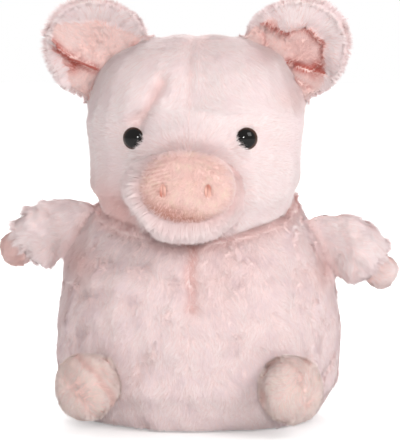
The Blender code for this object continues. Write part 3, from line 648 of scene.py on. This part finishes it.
# %% Nose pad
points, quads = hull(["nose_pad"], 1.0, 3)
points = drawn_in(points, quads, 0.5)
points[:, 0] = points[:, 0] * 0.985 + PAD_MIDDLE[0]
points[:, 2] = (points[:, 2] - NOSE[2]) * 1.03 + PAD_MIDDLE[2]


def swollen(p):
    """How far the pad's stuffing swells its front at a point."""
    return (3.2 * np.clip(1 - from_nose(p) ** 2, 0, 1) - 1.4 * ramp(from_nose(p), 0.75, 1.0)) * MM


to_muzzle = ramp(points[:, 1], NOSE[1] + 2.5 * MM, NOSE[1] + 5.0 * MM)
points[:, 1] += 2.2 * MM * to_muzzle - swollen(points) * (1 - to_muzzle)
new_skin("nose_velour", points, quads, PEACH_BACKING, "head", ["nose_pad"])

# %% Nose pile
nostrils = {}
for side in ("left", "right"):
    low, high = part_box(f"nostril_stitching_{side}")
    nostrils[side] = np.array([(low.x + high.x) / 2, 0, (low.z + high.z) / 2])


def clear_of_nostrils(p, n):
    """Which roots lie outside both stitched slits."""
    away = []
    for slit in nostrils.values():
        away.append(np.hypot((p[:, 0] - slit[0]) / (1.3 * MM), (p[:, 2] - slit[2]) / (3.6 * MM)))
    return np.min(away, axis=0) > 1


roots, normals = rooted(points, quads, 8.0, 31, clear_of_nostrils)
sign = roots[:, 0] / (20 * MM)
flow = np.stack([0.8 * sign, 0 * sign, -0.8 + 0.3 * np.abs(sign)], 1)
out_flow = unit((roots - NOSE) * FRONT_VIEW) + np.array([0, 0.3, 0])
edge = ramp(from_nose(roots), 0.78, 1.02)
flow = flow * (1 - edge[:, None]) + out_flow * edge[:, None]
# Fine ribs run over the pad's upper left. Their furrows, the pad's lower right, where it turns under, and the
# rims of the nostrils get painted shade, a browner pink.
ribs = 0.5 + 0.5 * np.sin((roots[:, 2] - 0.3 * roots[:, 0]) / (2.1 * MM) * 2 * math.pi)
ribs = ribs * spot(roots, -16, 137, 8)
draw = np.random.default_rng(34).random(len(roots))
inner, outer = draw > 0.8 * edge, draw < 0.5 * edge
low_right = -(roots[:, 2] - PAD_MIDDLE[2]) / MM - 0.3 * roots[:, 0] / MM
shade = 0.8 * ribs + 0.9 * ramp(low_right, 6, 16)
for side, painted_shade_weight in (("left", 0.35), ("right", 0.8)):
    shade = shade + painted_shade_weight * spot(roots, *nostrils[side][[0, 2]] / MM, 3.2)
length = 1.8 - 0.9 * ribs + 1.4 * edge
strands("nose_pile", roots[inner], normals[inner], flow[inner], length[inner], VELOUR_FIBRE_MM,
        NOSE_PILE, "head", 32, lean=1.6, clump=0.3, lock=12, wild=0.4,
        painted_shade=np.clip(shade, 0, 1)[inner])
# The long pile on the pad's edge gets painted shade too.
strands("muzzle_fur_edge", roots[outer], normals[outer], flow[outer], 3.6, VELOUR_FIBRE_MM,
        LONG_PILE, "head", 33, lean=1.3, clump=0.25, lock=12, wild=0.3, painted_shade=0.35)


# %% [markdown]
# ## Nostrils
# Each nostril is a slit that is worked over in satin stitch: threads side by side, which pull the slit's lips
# together in the middle. Each is a thin bent tube of rayon, spun and twisted from plies, which shines softly
# and shows the twist as slanting bands.

# %% Nostrils
TWIST_MM = 1.6
THREAD, tree, shader = new_material("satin_stitch_thread", 0.45, 0.4, 0.2)
where = add_node(tree, "TexCoord")
size = {"Vector": where.outputs["Object"], "Scale": 1 / (TWIST_MM * MM) / 10, "Distortion": 1.0}
twist = add_node(tree, "TexWave", size, bands_direction="DIAGONAL")
colours = {"Factor": twist.outputs["Fac"], "A": linear("cf8574"), "B": linear("ecbcae")}
ply = add_node(tree, "Mix", colours, data_type="RGBA")
tree.links.new(ply.outputs["Result"], shader.inputs["Base Color"])
THREADS, THREAD_SIDES, THREAD_STEPS = 7, 6, 10


def stitched(side, middle):
    """A slit's satin stitches, as upright threads side by side."""
    verts, faces = [], []
    for number in range(THREADS):
        across = (number / (THREADS - 1) * 2 - 1) * 1.35
        half = 3.9 * math.sqrt(1 - (across / 1.9) ** 2)
        sunk = 0.9 * math.exp(-((across / 0.35) ** 2))
        for step in range(THREAD_STEPS + 1):
            share = step / THREAD_STEPS * 2 - 1
            x, z = middle[0] / MM + across, middle[2] / MM + half * share
            rise = 0.75 * (1 - share**2) - sunk * (1 - share**4) - 0.35
            front = NOSE[1] / MM + 0.5 - swollen(np.array([[x, 0, z]]) * MM)[0] / MM
            for corner in range(THREAD_SIDES):
                turn = 2 * math.pi * corner / THREAD_SIDES
                wide = 0.27 * math.sqrt(max(1 - share**4, 0.05))
                verts.append((x + wide * math.cos(turn), front - rise + wide * math.sin(turn), z))
        first = number * (THREAD_STEPS + 1) * THREAD_SIDES
        for step in range(THREAD_STEPS):
            for corner in range(THREAD_SIDES):
                start = first + step * THREAD_SIDES
                a, b = start + corner, start + (corner + 1) % THREAD_SIDES
                faces.append((a, b, b + THREAD_SIDES, a + THREAD_SIDES))
        last = first + THREAD_STEPS * THREAD_SIDES
        faces.append(tuple(reversed(range(first, first + THREAD_SIDES))))
        faces.append(tuple(range(last, last + THREAD_SIDES)))
    verts = [[c * MM for c in v] for v in verts]
    made = new_piece(f"nostril_stitches_{side}", verts, faces, THREAD, "head")
    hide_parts(f"nostril_stitching_{side}")
    print(f"nostril_stitches_{side}: {THREADS} threads")


for side, middle in nostrils.items():
    stitched(side, middle)

# %% [markdown]
# ## Body
# A pear of short pile in four panels on a flat base. The fibres stand shorter and more mottled than on the
# head, and curl in loose tufts. A seam draws the chest in under the chin.

# %% Body skin
BODY_NODES = [*BODY_PANELS, "body_base", "body_stuffing", "pellet_bag"]
CHEST_SEAM = [(1, 112), (1.2, 68)]
points, quads = hull(BODY_NODES, 2.4)
normals = normals_of(points, quads)
above = ramp(normals @ NECK_UP, 0.6, 0.9) * ramp(points[:, 2], 0.098, 0.112)
points = drawn_in(points, quads, 1.6 - 1.2 * above)
lumps = waves(points, 34, 8)[:, :1] * 0.6 + waves(points, 11, 9)[:, :1] * 0.15
points = points + normals_of(points, quads) * lumps * MM
points = drawn_to(points, quads, HEAD_PANELS, 18, 0.6)
points = drawn_to(points, quads, ARMS, 8, 0.5)
points[:, 0] += ramp(points[:, 0], 0.03, 0.07) * 1.5 * MM
settle = ramp(-points[:, 2], -0.014, -0.004)
points[:, 2] = points[:, 2] * (1 - settle) + 0.8 * MM * settle
points = pinched(points, quads, CHEST_SEAM, 1.4, 5.0)
new_skin("body_skin", points, quads, LONG_BACKING, "torso", BODY_NODES)


# %% Body fur
def body_comb(p):
    """Down and outward from the chest seam."""
    return np.stack([p[:, 0] * 9, -0.2 + 0 * p[:, 0], -1 + 0 * p[:, 0]], 1)


def off_the_base(p, n):
    """Which roots aren't under the pig, where the base lies on the floor."""
    return (p[:, 2] > 0.0018) & (n[:, 2] > -0.97)


roots, normals = rooted(points, quads, 4.6, 41, off_the_base)
low_edge = ramp(-roots[:, 2], -0.022, -0.004)
flow, collar = combed_to(body_comb(roots), roots, [*HEAD_PANELS, "muzzle_panel"], 10)
flow, at_arm = combed_to(flow, roots, ARMS, 7)
flow, at_foot = combed_to(flow, roots, FEET, 8)
length = 4.0 - 1.0 * low_edge + 2.0 * collar + 2.0 * at_arm + 0.8 * at_foot
lean = 3.0 - 1.8 * collar - 0.6 * at_arm - 0.6 * at_foot
# Painted shade: a deeper pink along the chest seam, in the crease under the head, on the chest below the chin
# and under the arms, on the front only.
painted_shade = 0.42 * near(roots, CHEST_SEAM, 3.2) + 0.45 * collar + 0.12 * spot(roots, 12, 86, 24)
painted_shade = painted_shade + 0.35 * spot(roots, -60, 88, 9) + 0.35 * spot(roots, 70, 85, 8)
painted_shade = np.clip(painted_shade, 0, 1) * (roots[:, 1] < 0.01)
for number, part in enumerate(wedges(roots, 7), 1):
    strands(f"body_fur_{number}", roots[part], normals[part], flow[part], length[part], TUFT_FIBRE_MM,
            SHORT_PILE, "torso", 410 + number, lean=lean[part], clump=0.4, lock=14, wild=0.36,
            painted_shade=painted_shade[part], loose=0.14)

# %% Neck
points, quads = hull(["neck_stuffing"], 3.0)
new_skin("neck_skin", points, quads, LONG_BACKING, "neck", ["neck_stuffing"])

# %% [markdown]
# ## Arms and trotters
# Each arm is a flat sleeve of long pile that droops to a short pile trotter. Its root is sewn to the body's
# backing, so the skin reaches in through the body's pile there, and its fur hides the seam and the cuff.


# %% Arms
def sleeve(side, sign):
    """An arm's skin and its fur, which grows longer and droops towards the trotter."""
    joint = joint_of(f"arm_{side}_swing")
    seam = np.array(joint["pos_m"])
    out = np.array([sign * abs(joint["axis"][2]), 0, abs(joint["axis"][0])])
    points, quads = hull([f"arm_sleeve_{side}", f"arm_stuffing_{side}"], 1.8)
    reach = ((points - seam) @ out) / MM
    points = drawn_in(points, quads, 0.4 + 1.6 * ramp(reach, 0, 10))
    points = points - np.outer(1 - ramp(reach, -3, 9), out) * 3.2 * MM
    lumps = waves(points, 9, 57)[:, :1] * ramp(reach, 2, 12)[:, None]
    points = points + normals_of(points, quads) * lumps * 0.6 * MM
    new_skin(f"arm_skin_{side}", points, quads, LONG_BACKING, f"arm_{side}",
             [f"arm_sleeve_{side}", f"arm_stuffing_{side}"])
    roots, normals = rooted(points, quads, 5.0, 51 + sign)
    reach = ((roots - seam) @ out) / MM
    flow = np.array([sign * 0.85, -0.1, -0.6]) + 0.35 * unit(roots - seam) * FRONT_VIEW
    length = 5.2 + 2.0 * ramp(reach, 14, 28)
    flow, at_body = combed_to(flow, roots, BODY_PANELS, 6)
    flow, cuff = combed_to(flow, roots, [f"trotter_{side}"], 7)
    length = length + (1 if side == "left" else 3) * cuff
    edge = 1 - np.abs(normals[:, 1])
    lean = 7.0 - 4.0 * np.maximum(at_body, cuff) - 4.6 * edge * (1 - at_body)
    # Painted shade: the pile is a deeper pink where the arm lies against the body.
    strands(f"arm_fur_{side}", roots, normals, flow, length, FIBRE_MM, LONG_PILE, f"arm_{side}",
            55 + sign, lean=lean, clump=0.5, lock=44, wild=0.35, painted_shade=0.3 * at_body, loose=0.16)


def trotter(side, sign):
    """A trotter's skin and its short pile. The left one hangs lower."""
    points, quads = hull([f"trotter_{side}"], 1.2)
    points = drawn_in(points, quads, 1.4)
    points += np.array([-4.0, 0, -3.0] if side == "left" else [1.5, 0, 0]) * MM
    new_skin(f"trotter_skin_{side}", points, quads, PEACH_BACKING, f"arm_{side}",
             [f"trotter_{side}"])
    roots, normals = rooted(points, quads, 6.0, 61 + sign)
    flow = np.array([sign * 0.85, 0.0, -0.5]) + 0 * roots
    # The right trotter's pile is painted darker, for the shade it lies in.
    strands(f"trotter_pile_{side}", roots, normals, flow, 3.4, FIBRE_MM, TROTTER_PILE, f"arm_{side}",
            65 + sign, lean=2.0, clump=0.4, lock=18, wild=0.4,
            painted_shade=0.0 if side == "left" else 0.5)


for side, sign in SIDES:
    sleeve(side, sign)
    trotter(side, sign)

# %% [markdown]
# ## Feet
# The feet are stuffed short pile buds, whose seams pucker. On the left one the nap turns in a swirl.

# %% Feet
SEAMS = {"left": [(39.6, 26), (39.6, 8)], "right": [(-60, 43), (-47, 34), (-40, 24), (-39, 9)]}
for side, sign in SIDES:
    points, quads = hull([f"foot_cover_{side}", f"foot_stuffing_{side}"], 1.5)
    points = drawn_in(points, quads, 1.2)
    points = relaxed(drawn_to(points, quads, BODY_PANELS, 16, 1.1), quads, 3)
    points = pinched(points, quads, SEAMS[side], 1.6, 2.4)
    new_skin(f"foot_skin_{side}", points, quads, PEACH_BACKING, f"foot_{side}",
             [f"foot_cover_{side}", f"foot_stuffing_{side}"])
    roots, normals = rooted(points, quads, 6.0, 71 + sign)
    toe = np.array([sign * 60.7, -80, 27.4]) * MM
    out = (roots - toe) * FRONT_VIEW
    swirl = np.stack([-out[:, 2], 0 * out[:, 0], out[:, 0]], 1)
    flow = unit(out) + (0.9 * unit(swirl) if side == "left" else 0) + 0.3 * DOWN
    edge = 1 - np.abs(normals[:, 1])
    # Painted shade: a deeper pink along the puckered seams.
    strands(f"foot_pile_{side}", roots, normals, flow, 3.3, FIBRE_MM, FOOT_PILE_WITH_PAINTED_SHADE, f"foot_{side}",
            75 + sign, lean=2.6 - 1.0 * edge, clump=0.42, lock=16, wild=0.4,
            painted_shade=0.5 * near(roots, SEAMS[side], 1.6))

# %% [markdown]
# ## Ears
# The back of an ear is long pile, and it curls over the rim to the front. The lining is a peach pink velour,
# and because the ear is turned and stuffed by hand, it folds over itself in deep warm creases, which aren't
# alike left and right. One closed skin round both layers, set back behind the lining, carries the fur.

# %% Ear folds
LININGS = {
    "left": [(24, 203), (29.5, 210.5), (41, 215), (44.7, 214), (46.3, 209.5), (54, 209.5), (58, 211.5),
             (62, 209.5), (67, 204.5), (68.5, 194), (69.5, 189), (67.4, 183.5), (63, 176), (59.3, 170),
             (55, 172), (46.3, 182), (42, 189), (34, 194), (25.7, 199)],
    "right": [(-76, 213), (-67, 213), (-53.3, 214), (-44, 211.5), (-36.5, 209), (-29.5, 205.5), (-32, 199),
              (-41, 191), (-46, 186), (-56, 170), (-59.2, 170), (-67.3, 178), (-67.3, 189), (-75, 199.5)],
}
# Each fold has its line, how far one side rises and the other drops, and how soon both fade, in mm.
FOLDS = {
    "left": [
        ([(36, 215), (40.5, 211), (49, 208)], 3.0, 2.0, 3.5),
        ([(47.4, 209), (58.2, 211.5), (67.5, 202), (67.4, 195)], 1.5, 2.0, 3.0),
        ([(69, 187), (60, 190), (50, 193)], 2.6, 2.4, 4.0),
        ([(60, 180.5), (45.7, 189), (40, 196), (36.3, 207)], 2.0, 1.2, 3.5),
    ],
    "right": [
        ([(-76, 203), (-71, 197.5), (-64.5, 193.5), (-53.5, 190)], 3.0, 2.6, 5.0),
        ([(-44.6, 192), (-37.6, 196.4), (-31.6, 201.8)], 2.2, 1.6, 4.0),
        ([(-44.6, 192), (-48.9, 188.2), (-55.4, 179), (-58.1, 172.5)], 1.2, 1.8, 3.0),
    ],
}
# A patch of fine wrinkles has x, z, radius, their spacing and their height, and a pocket x, z and radius.
WRINKLES = {"left": (58, 202, 7, 2.2, 0.35), "right": (-50, 207, 6, 3.2, 0.8)}
POCKETS = {"left": (64, 190, 4.5), "right": (-65, 192, 4.5)}


def to_head(points, side, reach_mm, fade_mm):
    """Draws an ear's root out towards the head, through the pile, to where it is sewn to the backing."""
    joint = joint_of(f"ear_{side}_fold")
    out = np.array([abs(joint["axis"][2]) * (1 if side == "left" else -1), 0, abs(joint["axis"][0])])
    height = (points - np.array(joint["pos_m"])) @ out / MM
    return points - np.outer(1 - ramp(height, -2, fade_mm), out) * reach_mm * MM


def away_from(points, others):
    """How far each point is in mm from the nearest of some others, seen from the front."""
    tree = kdtree.KDTree(len(others))
    for i, other in enumerate(others):
        tree.insert((other[0], 0, other[2]), i)
    tree.balance()
    return np.array([tree.find((p[0], 0, p[2]))[2] for p in points]) / MM


# %% Ear skins
def lining_skin(side, sign):
    """The lining's skin with its rolled rim, folds, wrinkles and pocket."""
    outline = LININGS[side]
    lining, lining_quads = hull([f"ear_lining_{side}"], 0.9, 4)
    lining = to_head(drawn_in(lining, lining_quads, 0.2), side, 4.5, 14)
    lining = drawn_to(lining, lining_quads, HEAD_PANELS, 14, 1.5)
    lining[:, 0] += 0.06 * (lining[:, 0] - sign * 24 * MM)
    ahead = ramp(-normals_of(lining, lining_quads)[:, 1], 0.0, 0.5)
    roll = ramp(beside(lining, outline + outline[:1])[0], 0.5, 4.0) * ~inside(lining, outline)
    lining[:, 1] -= ahead * roll * 1.4 * MM
    for path, rise, drop, width in FOLDS[side]:
        lining = folded(lining, path, rise, drop, width)
    x, z, radius, wave_mm, height = WRINKLES[side]
    wrinkles = np.sin(lining[:, 2] / (wave_mm * MM) * 2 * math.pi)
    lining[:, 1] -= spot(lining, x, z, radius) * wrinkles * height * MM
    lining[:, 1] += spot(lining, *POCKETS[side]) * 2.0 * MM
    new_skin(f"ear_lining_skin_{side}", lining, lining_quads, PEACH_BACKING, f"ear_{side}",
             [f"ear_lining_{side}"])
    return lining, lining_quads


def back_skin(side, sign):
    """The skin round the whole ear, pushed back behind the lining inside the rim."""
    outline = LININGS[side]
    points, quads = hull([f"ear_back_{side}", f"ear_lining_{side}"], 1.5)
    points = to_head(drawn_in(points, quads, 1.0), side, 3.6, 10)
    points = drawn_to(points, quads, HEAD_PANELS, 12, 1.4)
    points[:, 0] += 0.06 * (points[:, 0] - sign * 24 * MM)
    within = ramp(beside(points, outline + outline[:1])[0], 0.0, 3.0) * inside(points, outline)
    points[:, 1] += ramp(-normals_of(points, quads)[:, 1], 0.3, 0.8) * (1.0 + 5.0 * within) * MM
    new_skin(f"ear_back_skin_{side}", points, quads, LONG_BACKING, f"ear_{side}",
             [f"ear_back_{side}"])
    return points, quads


# %% Ear pile
def ear(side, sign):
    """An ear: its two skins, the velour inside the lining's outline and the fur round it."""
    lining, lining_quads = lining_skin(side, sign)
    points, quads = back_skin(side, sign)
    root = np.array([sign * 40, 0.0, 186]) * MM
    middle = np.array([sign * 52, 0.0, 197]) * MM
    roots, normals = rooted(lining, lining_quads, 7.0, 91 + sign, lambda p, n: n[:, 1] < 0.2)
    back_roots, back_normals = rooted(points, quads, 5.0, 81 + sign)
    bare = (back_normals[:, 1] > -0.3) | (away_from(back_roots, lining) > 1.2)
    roots = np.concatenate([roots, back_roots[bare]])
    normals = np.concatenate([normals, back_normals[bare]])
    velour = inside(roots + waves(roots, 6, 93) * 0.7 * MM, LININGS[side]) & (normals[:, 1] < -0.1)
    # Painted shade: the velour is a deep pink along the folds, by how far their far side drops, in the pocket
    # and in the wrinkles of the left ear, with the warmer light that comes out of the folds.
    painted_shade_share = [near(roots, path, 1.2 + 0.6 * drop) * drop / 2.4 for path, rise, drop, width in FOLDS[side]]
    painted_shade_share = np.max([*painted_shade_share, 1.2 * spot(roots, *POCKETS[side])], axis=0)
    painted_shade_share = np.clip(painted_shade_share + 0.25 * spot(roots, 57, 201, 9), 0, 1)
    outward = unit((roots - middle) * FRONT_VIEW)
    strands(f"ear_lining_pile_{side}", roots[velour], normals[velour], outward[velour], 2.3, VELOUR_FIBRE_MM,
            LINING_PILE, f"ear_{side}", 95 + sign, lean=1.6, clump=0.4, lock=14, wild=0.45,
            painted_shade=painted_shade_share[velour])
    roots, normals, outward = roots[~velour], normals[~velour], outward[~velour]
    front = ramp(-normals[:, 1], 0.2, 0.8)[:, None]
    flow = outward + AHEAD * 0.6 * (1 - front) + 0.3 * DOWN
    height = ((roots - root) @ np.array([sign * 0.71, 0, 0.7])) / MM
    length = 3.2 + 2.2 * ramp(height, 4, 12)
    # Painted shade: the fur is a deeper pink near the ear's root, where it meets the head.
    strands(f"ear_fur_{side}", roots, normals, flow, length, FIBRE_MM, LONG_PILE, f"ear_{side}",
            85 + sign, lean=1.5 + 2.6 * np.abs(normals[:, 1]), clump=0.4, lock=36,
            painted_shade=0.2 * (1 - ramp(height, 2, 9)), loose=0.2)


for side, sign in SIDES:
    ear(side, sign)

# %% [markdown]
# ## Tail
# A thin stuffed curl of the body's plush. Its root is drawn forward into the body, where it is sewn on.

# %% Tail
points, quads = hull(["tail"], 1.0)
points = drawn_in(points, quads, 0.8)
points[:, 1] -= (1 - ramp(points[:, 1], 0.065, 0.071)) * 4.0 * MM
new_skin("tail_skin", points, quads, PEACH_BACKING, "tail", ["tail"])
roots, normals = rooted(points, quads, 5.0, 101)
flow = np.array([0, 1.0, 0]) + 0 * roots
strands("tail_pile", roots, normals, flow, 1.8, FIBRE_MM, SHORT_PILE, "tail", 102, lean=1.2)

# %% [markdown]
# ## Eyes and washers
# A safety eye is moulded in black plastic and tumbled to a polish, and its thin edge lets a little brown
# through, which the shader draws by the distance from the eye's axis. The washers are hidden in the head.

# %% Eye material
EYE, tree, shader = new_material("polished_black_plastic", 0.07, 0.2)
where = add_node(tree, "TexCoord")
shift = {0: where.outputs["Object"], 1: (0, 0, -eyes[0][2])}
shifted = add_node(tree, "VectorMath", shift, operation="ADD")
sized = add_node(tree, "VectorMath", {0: shifted.outputs["Vector"]}, operation="ABSOLUTE")
shift = {0: sized.outputs["Vector"], 1: (-eyes[0][0], 0, 0)}
centred = add_node(tree, "VectorMath", shift, operation="ADD")
front = {0: centred.outputs["Vector"], 1: (1, 0, 1)}
flat = add_node(tree, "VectorMath", front, operation="MULTIPLY")
away = add_node(tree, "VectorMath", {0: flat.outputs["Vector"]}, operation="LENGTH")
limits = {"Value": away.outputs["Value"], "From Min": 4.6 * MM, "From Max": 5.8 * MM}
rim = add_node(tree, "MapRange", limits)
colours = {"Factor": rim.outputs["Result"], "A": linear("0a0706"), "B": linear("4a2a1c")}
ringed = add_node(tree, "Mix", colours, data_type="RGBA")
tree.links.new(ringed.outputs["Result"], shader.inputs["Base Color"])

# %% Washer material
# Polythene, moulded and left as it comes out. It is milky white, with faint marks where it flowed.
WASHER, tree, shader = new_material("moulded_white_plastic", 0.4, 0.5)
where = add_node(tree, "TexCoord")
flow_marks = add_node(tree, "TexNoise", {"Vector": where.outputs["Object"], "Scale": 1 / (4 * MM)})
colours = {"Factor": flow_marks.outputs["Fac"], "A": linear("d6d6d2"), "B": linear("e4e4e0")}
milky = add_node(tree, "Mix", colours, data_type="RGBA")
tree.links.new(milky.outputs["Result"], shader.inputs["Base Color"])

# %% Eyes and washers
for side, _ in SIDES:
    node = frame["nodes"][f"eye_{side}"]
    made = bpy.data.objects.new(f"eye_button_{side}", node.data.copy())
    bpy.context.scene.collection.objects.link(made)
    made.data.materials.clear()
    made.data.materials.append(EYE)
    work = bmesh.new()
    work.from_mesh(made.data)
    bmesh.ops.remove_doubles(work, verts=work.verts, dist=0.01 * MM)
    work.to_mesh(made.data)
    work.free()
    made.data.shade_smooth()
    rounder = made.modifiers.new("rounder", "SUBSURF")
    rounder.levels = rounder.render_levels = 2
    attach(made, "head")
    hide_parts(f"eye_{side}")
    washer = frame["nodes"][f"eye_washer_{side}"]
    washer.data.materials.clear()
    washer.data.materials.append(WASHER)
    print(f"eye_button_{side} and its washer")

# %% [markdown]
# ## Studio
# A pale floor, a large soft lamp high on the right, a small one in front, one behind and an even sky. The
# paper sweep behind a product is lit till it is white. Here only the camera, reflections and clear things see
# that white. It is weak near the pig, so that its shadow stays, and full where the floor meets the sky.


# %% Floor
def seen_rays(tree):
    """1 for rays of the camera, of reflections and through clear things, and 0 for what lights the pig."""
    rays = add_node(tree, "LightPath")
    either = {0: rays.outputs["Is Camera Ray"], 1: rays.outputs["Is Glossy Ray"]}
    seen = add_node(tree, "Math", either, operation="MAXIMUM")
    either = {0: seen.outputs["Value"], 1: rays.outputs["Is Transmission Ray"]}
    return add_node(tree, "Math", either, operation="MAXIMUM")


FLOOR_HALF = 6  # metres
GLOW_FROM, GLOW_FULL = 0.06, 0.18
floor_mesh = bpy.data.meshes.new("floor")
floor_corners = [(x * FLOOR_HALF, y * FLOOR_HALF, 0) for x, y in ((-1, -1), (1, -1), (1, 1), (-1, 1))]
floor_mesh.from_pydata(floor_corners, [], [(0, 1, 2, 3)])
floor = bpy.data.objects.new("floor", floor_mesh)
bpy.context.scene.collection.objects.link(floor)
floor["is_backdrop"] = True
# Uncoated paper, pressed smooth. It is matt and nearly white.
FLOOR, tree, shader = new_material("pale_paper", 0.9, 0.1)
shader.inputs["Base Color"].default_value = linear("f6f6f6")
seen = seen_rays(tree)
place = add_node(tree, "NewGeometry")
far = add_node(tree, "VectorMath", {0: place.outputs["Position"]}, operation="LENGTH")
limits = {"Value": far.outputs["Value"], "From Min": GLOW_FROM, "From Max": GLOW_FULL, "To Min": 0.33}
glow = add_node(tree, "MapRange", limits)
both = {0: seen.outputs["Value"], 1: glow.outputs["Result"]}
strength = add_node(tree, "Math", both, operation="MULTIPLY")
shader.inputs["Emission Color"].default_value = (1, 1, 1, 1)
tree.links.new(strength.outputs["Value"], shader.inputs["Emission Strength"])
floor.data.materials.append(FLOOR)
print("floor of", 2 * FLOOR_HALF, "m")

# %% Sky
SKY_LIGHT = 0.45
world = bpy.data.worlds.new("studio")
bpy.context.scene.world = world
world.use_nodes = True
tree = world.node_tree
sky = tree.nodes["Background"]
sky.inputs["Color"].default_value = (1, 1, 1, 1)
limits = {"Value": seen_rays(tree).outputs["Value"], "To Min": SKY_LIGHT, "To Max": 1.0}
level = add_node(tree, "MapRange", limits)
tree.links.new(level.outputs["Result"], sky.inputs["Strength"])
print("sky light", SKY_LIGHT)

# %% Lamps
LAMPS_LOOK_AT = Vector((0, 0, 0.11))


def lamp(name, position, size, power):
    """A white square soft lamp that looks at the middle of the pig. Its size is in metres and power in W."""
    data = bpy.data.lights.new(name, "AREA")
    data.size = size
    data.energy = power
    made = bpy.data.objects.new(name, data)
    made.location = position
    made.rotation_euler = (LAMPS_LOOK_AT - Vector(position)).to_track_quat("-Z", "Y").to_euler()
    bpy.context.scene.collection.objects.link(made)


lamp("key", (1.25, -1.15, 1.0), 0.8, 14.5)
lamp("front", (0.12, -1.3, 0.36), 0.13, 4.8)
lamp("back", (-0.3, 1.1, 1.2), 1.0, 17)

# %% [markdown]
# ## Camera
# The photo was taken from nearly straight ahead, a little to the pig's left and above. The lens follows from
# the size of a pixel at the pig, because a safety eye of 12 mm is 22 pixels wide.

# %% Camera
AZIMUTH, ELEVATION, DISTANCE = math.radians(4), math.radians(5), 1.3
MM_PER_PIXEL, PHOTO_HEIGHT, SENSOR = 0.541, 444, 36
AIM = Vector((0.0016, 0, 0.1066))
level_reach = math.cos(ELEVATION)
back = Vector((math.sin(AZIMUTH) * level_reach, -math.cos(AZIMUTH) * level_reach, math.sin(ELEVATION)))
camera_data = bpy.data.cameras.new("camera")
camera_data.sensor_width = SENSOR
camera_data.lens = SENSOR * DISTANCE / (PHOTO_HEIGHT * MM_PER_PIXEL * MM)
print("lens in mm:", round(camera_data.lens, 1))
camera = bpy.data.objects.new("camera", camera_data)
camera.location = AIM + back * DISTANCE
camera.rotation_euler = (-back).to_track_quat("-Z", "Y").to_euler()
bpy.context.scene.collection.objects.link(camera)
bpy.context.scene.camera = camera
bpy.context.scene.view_settings.view_transform = "Standard"

# %% Sizes and finish
low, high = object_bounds()
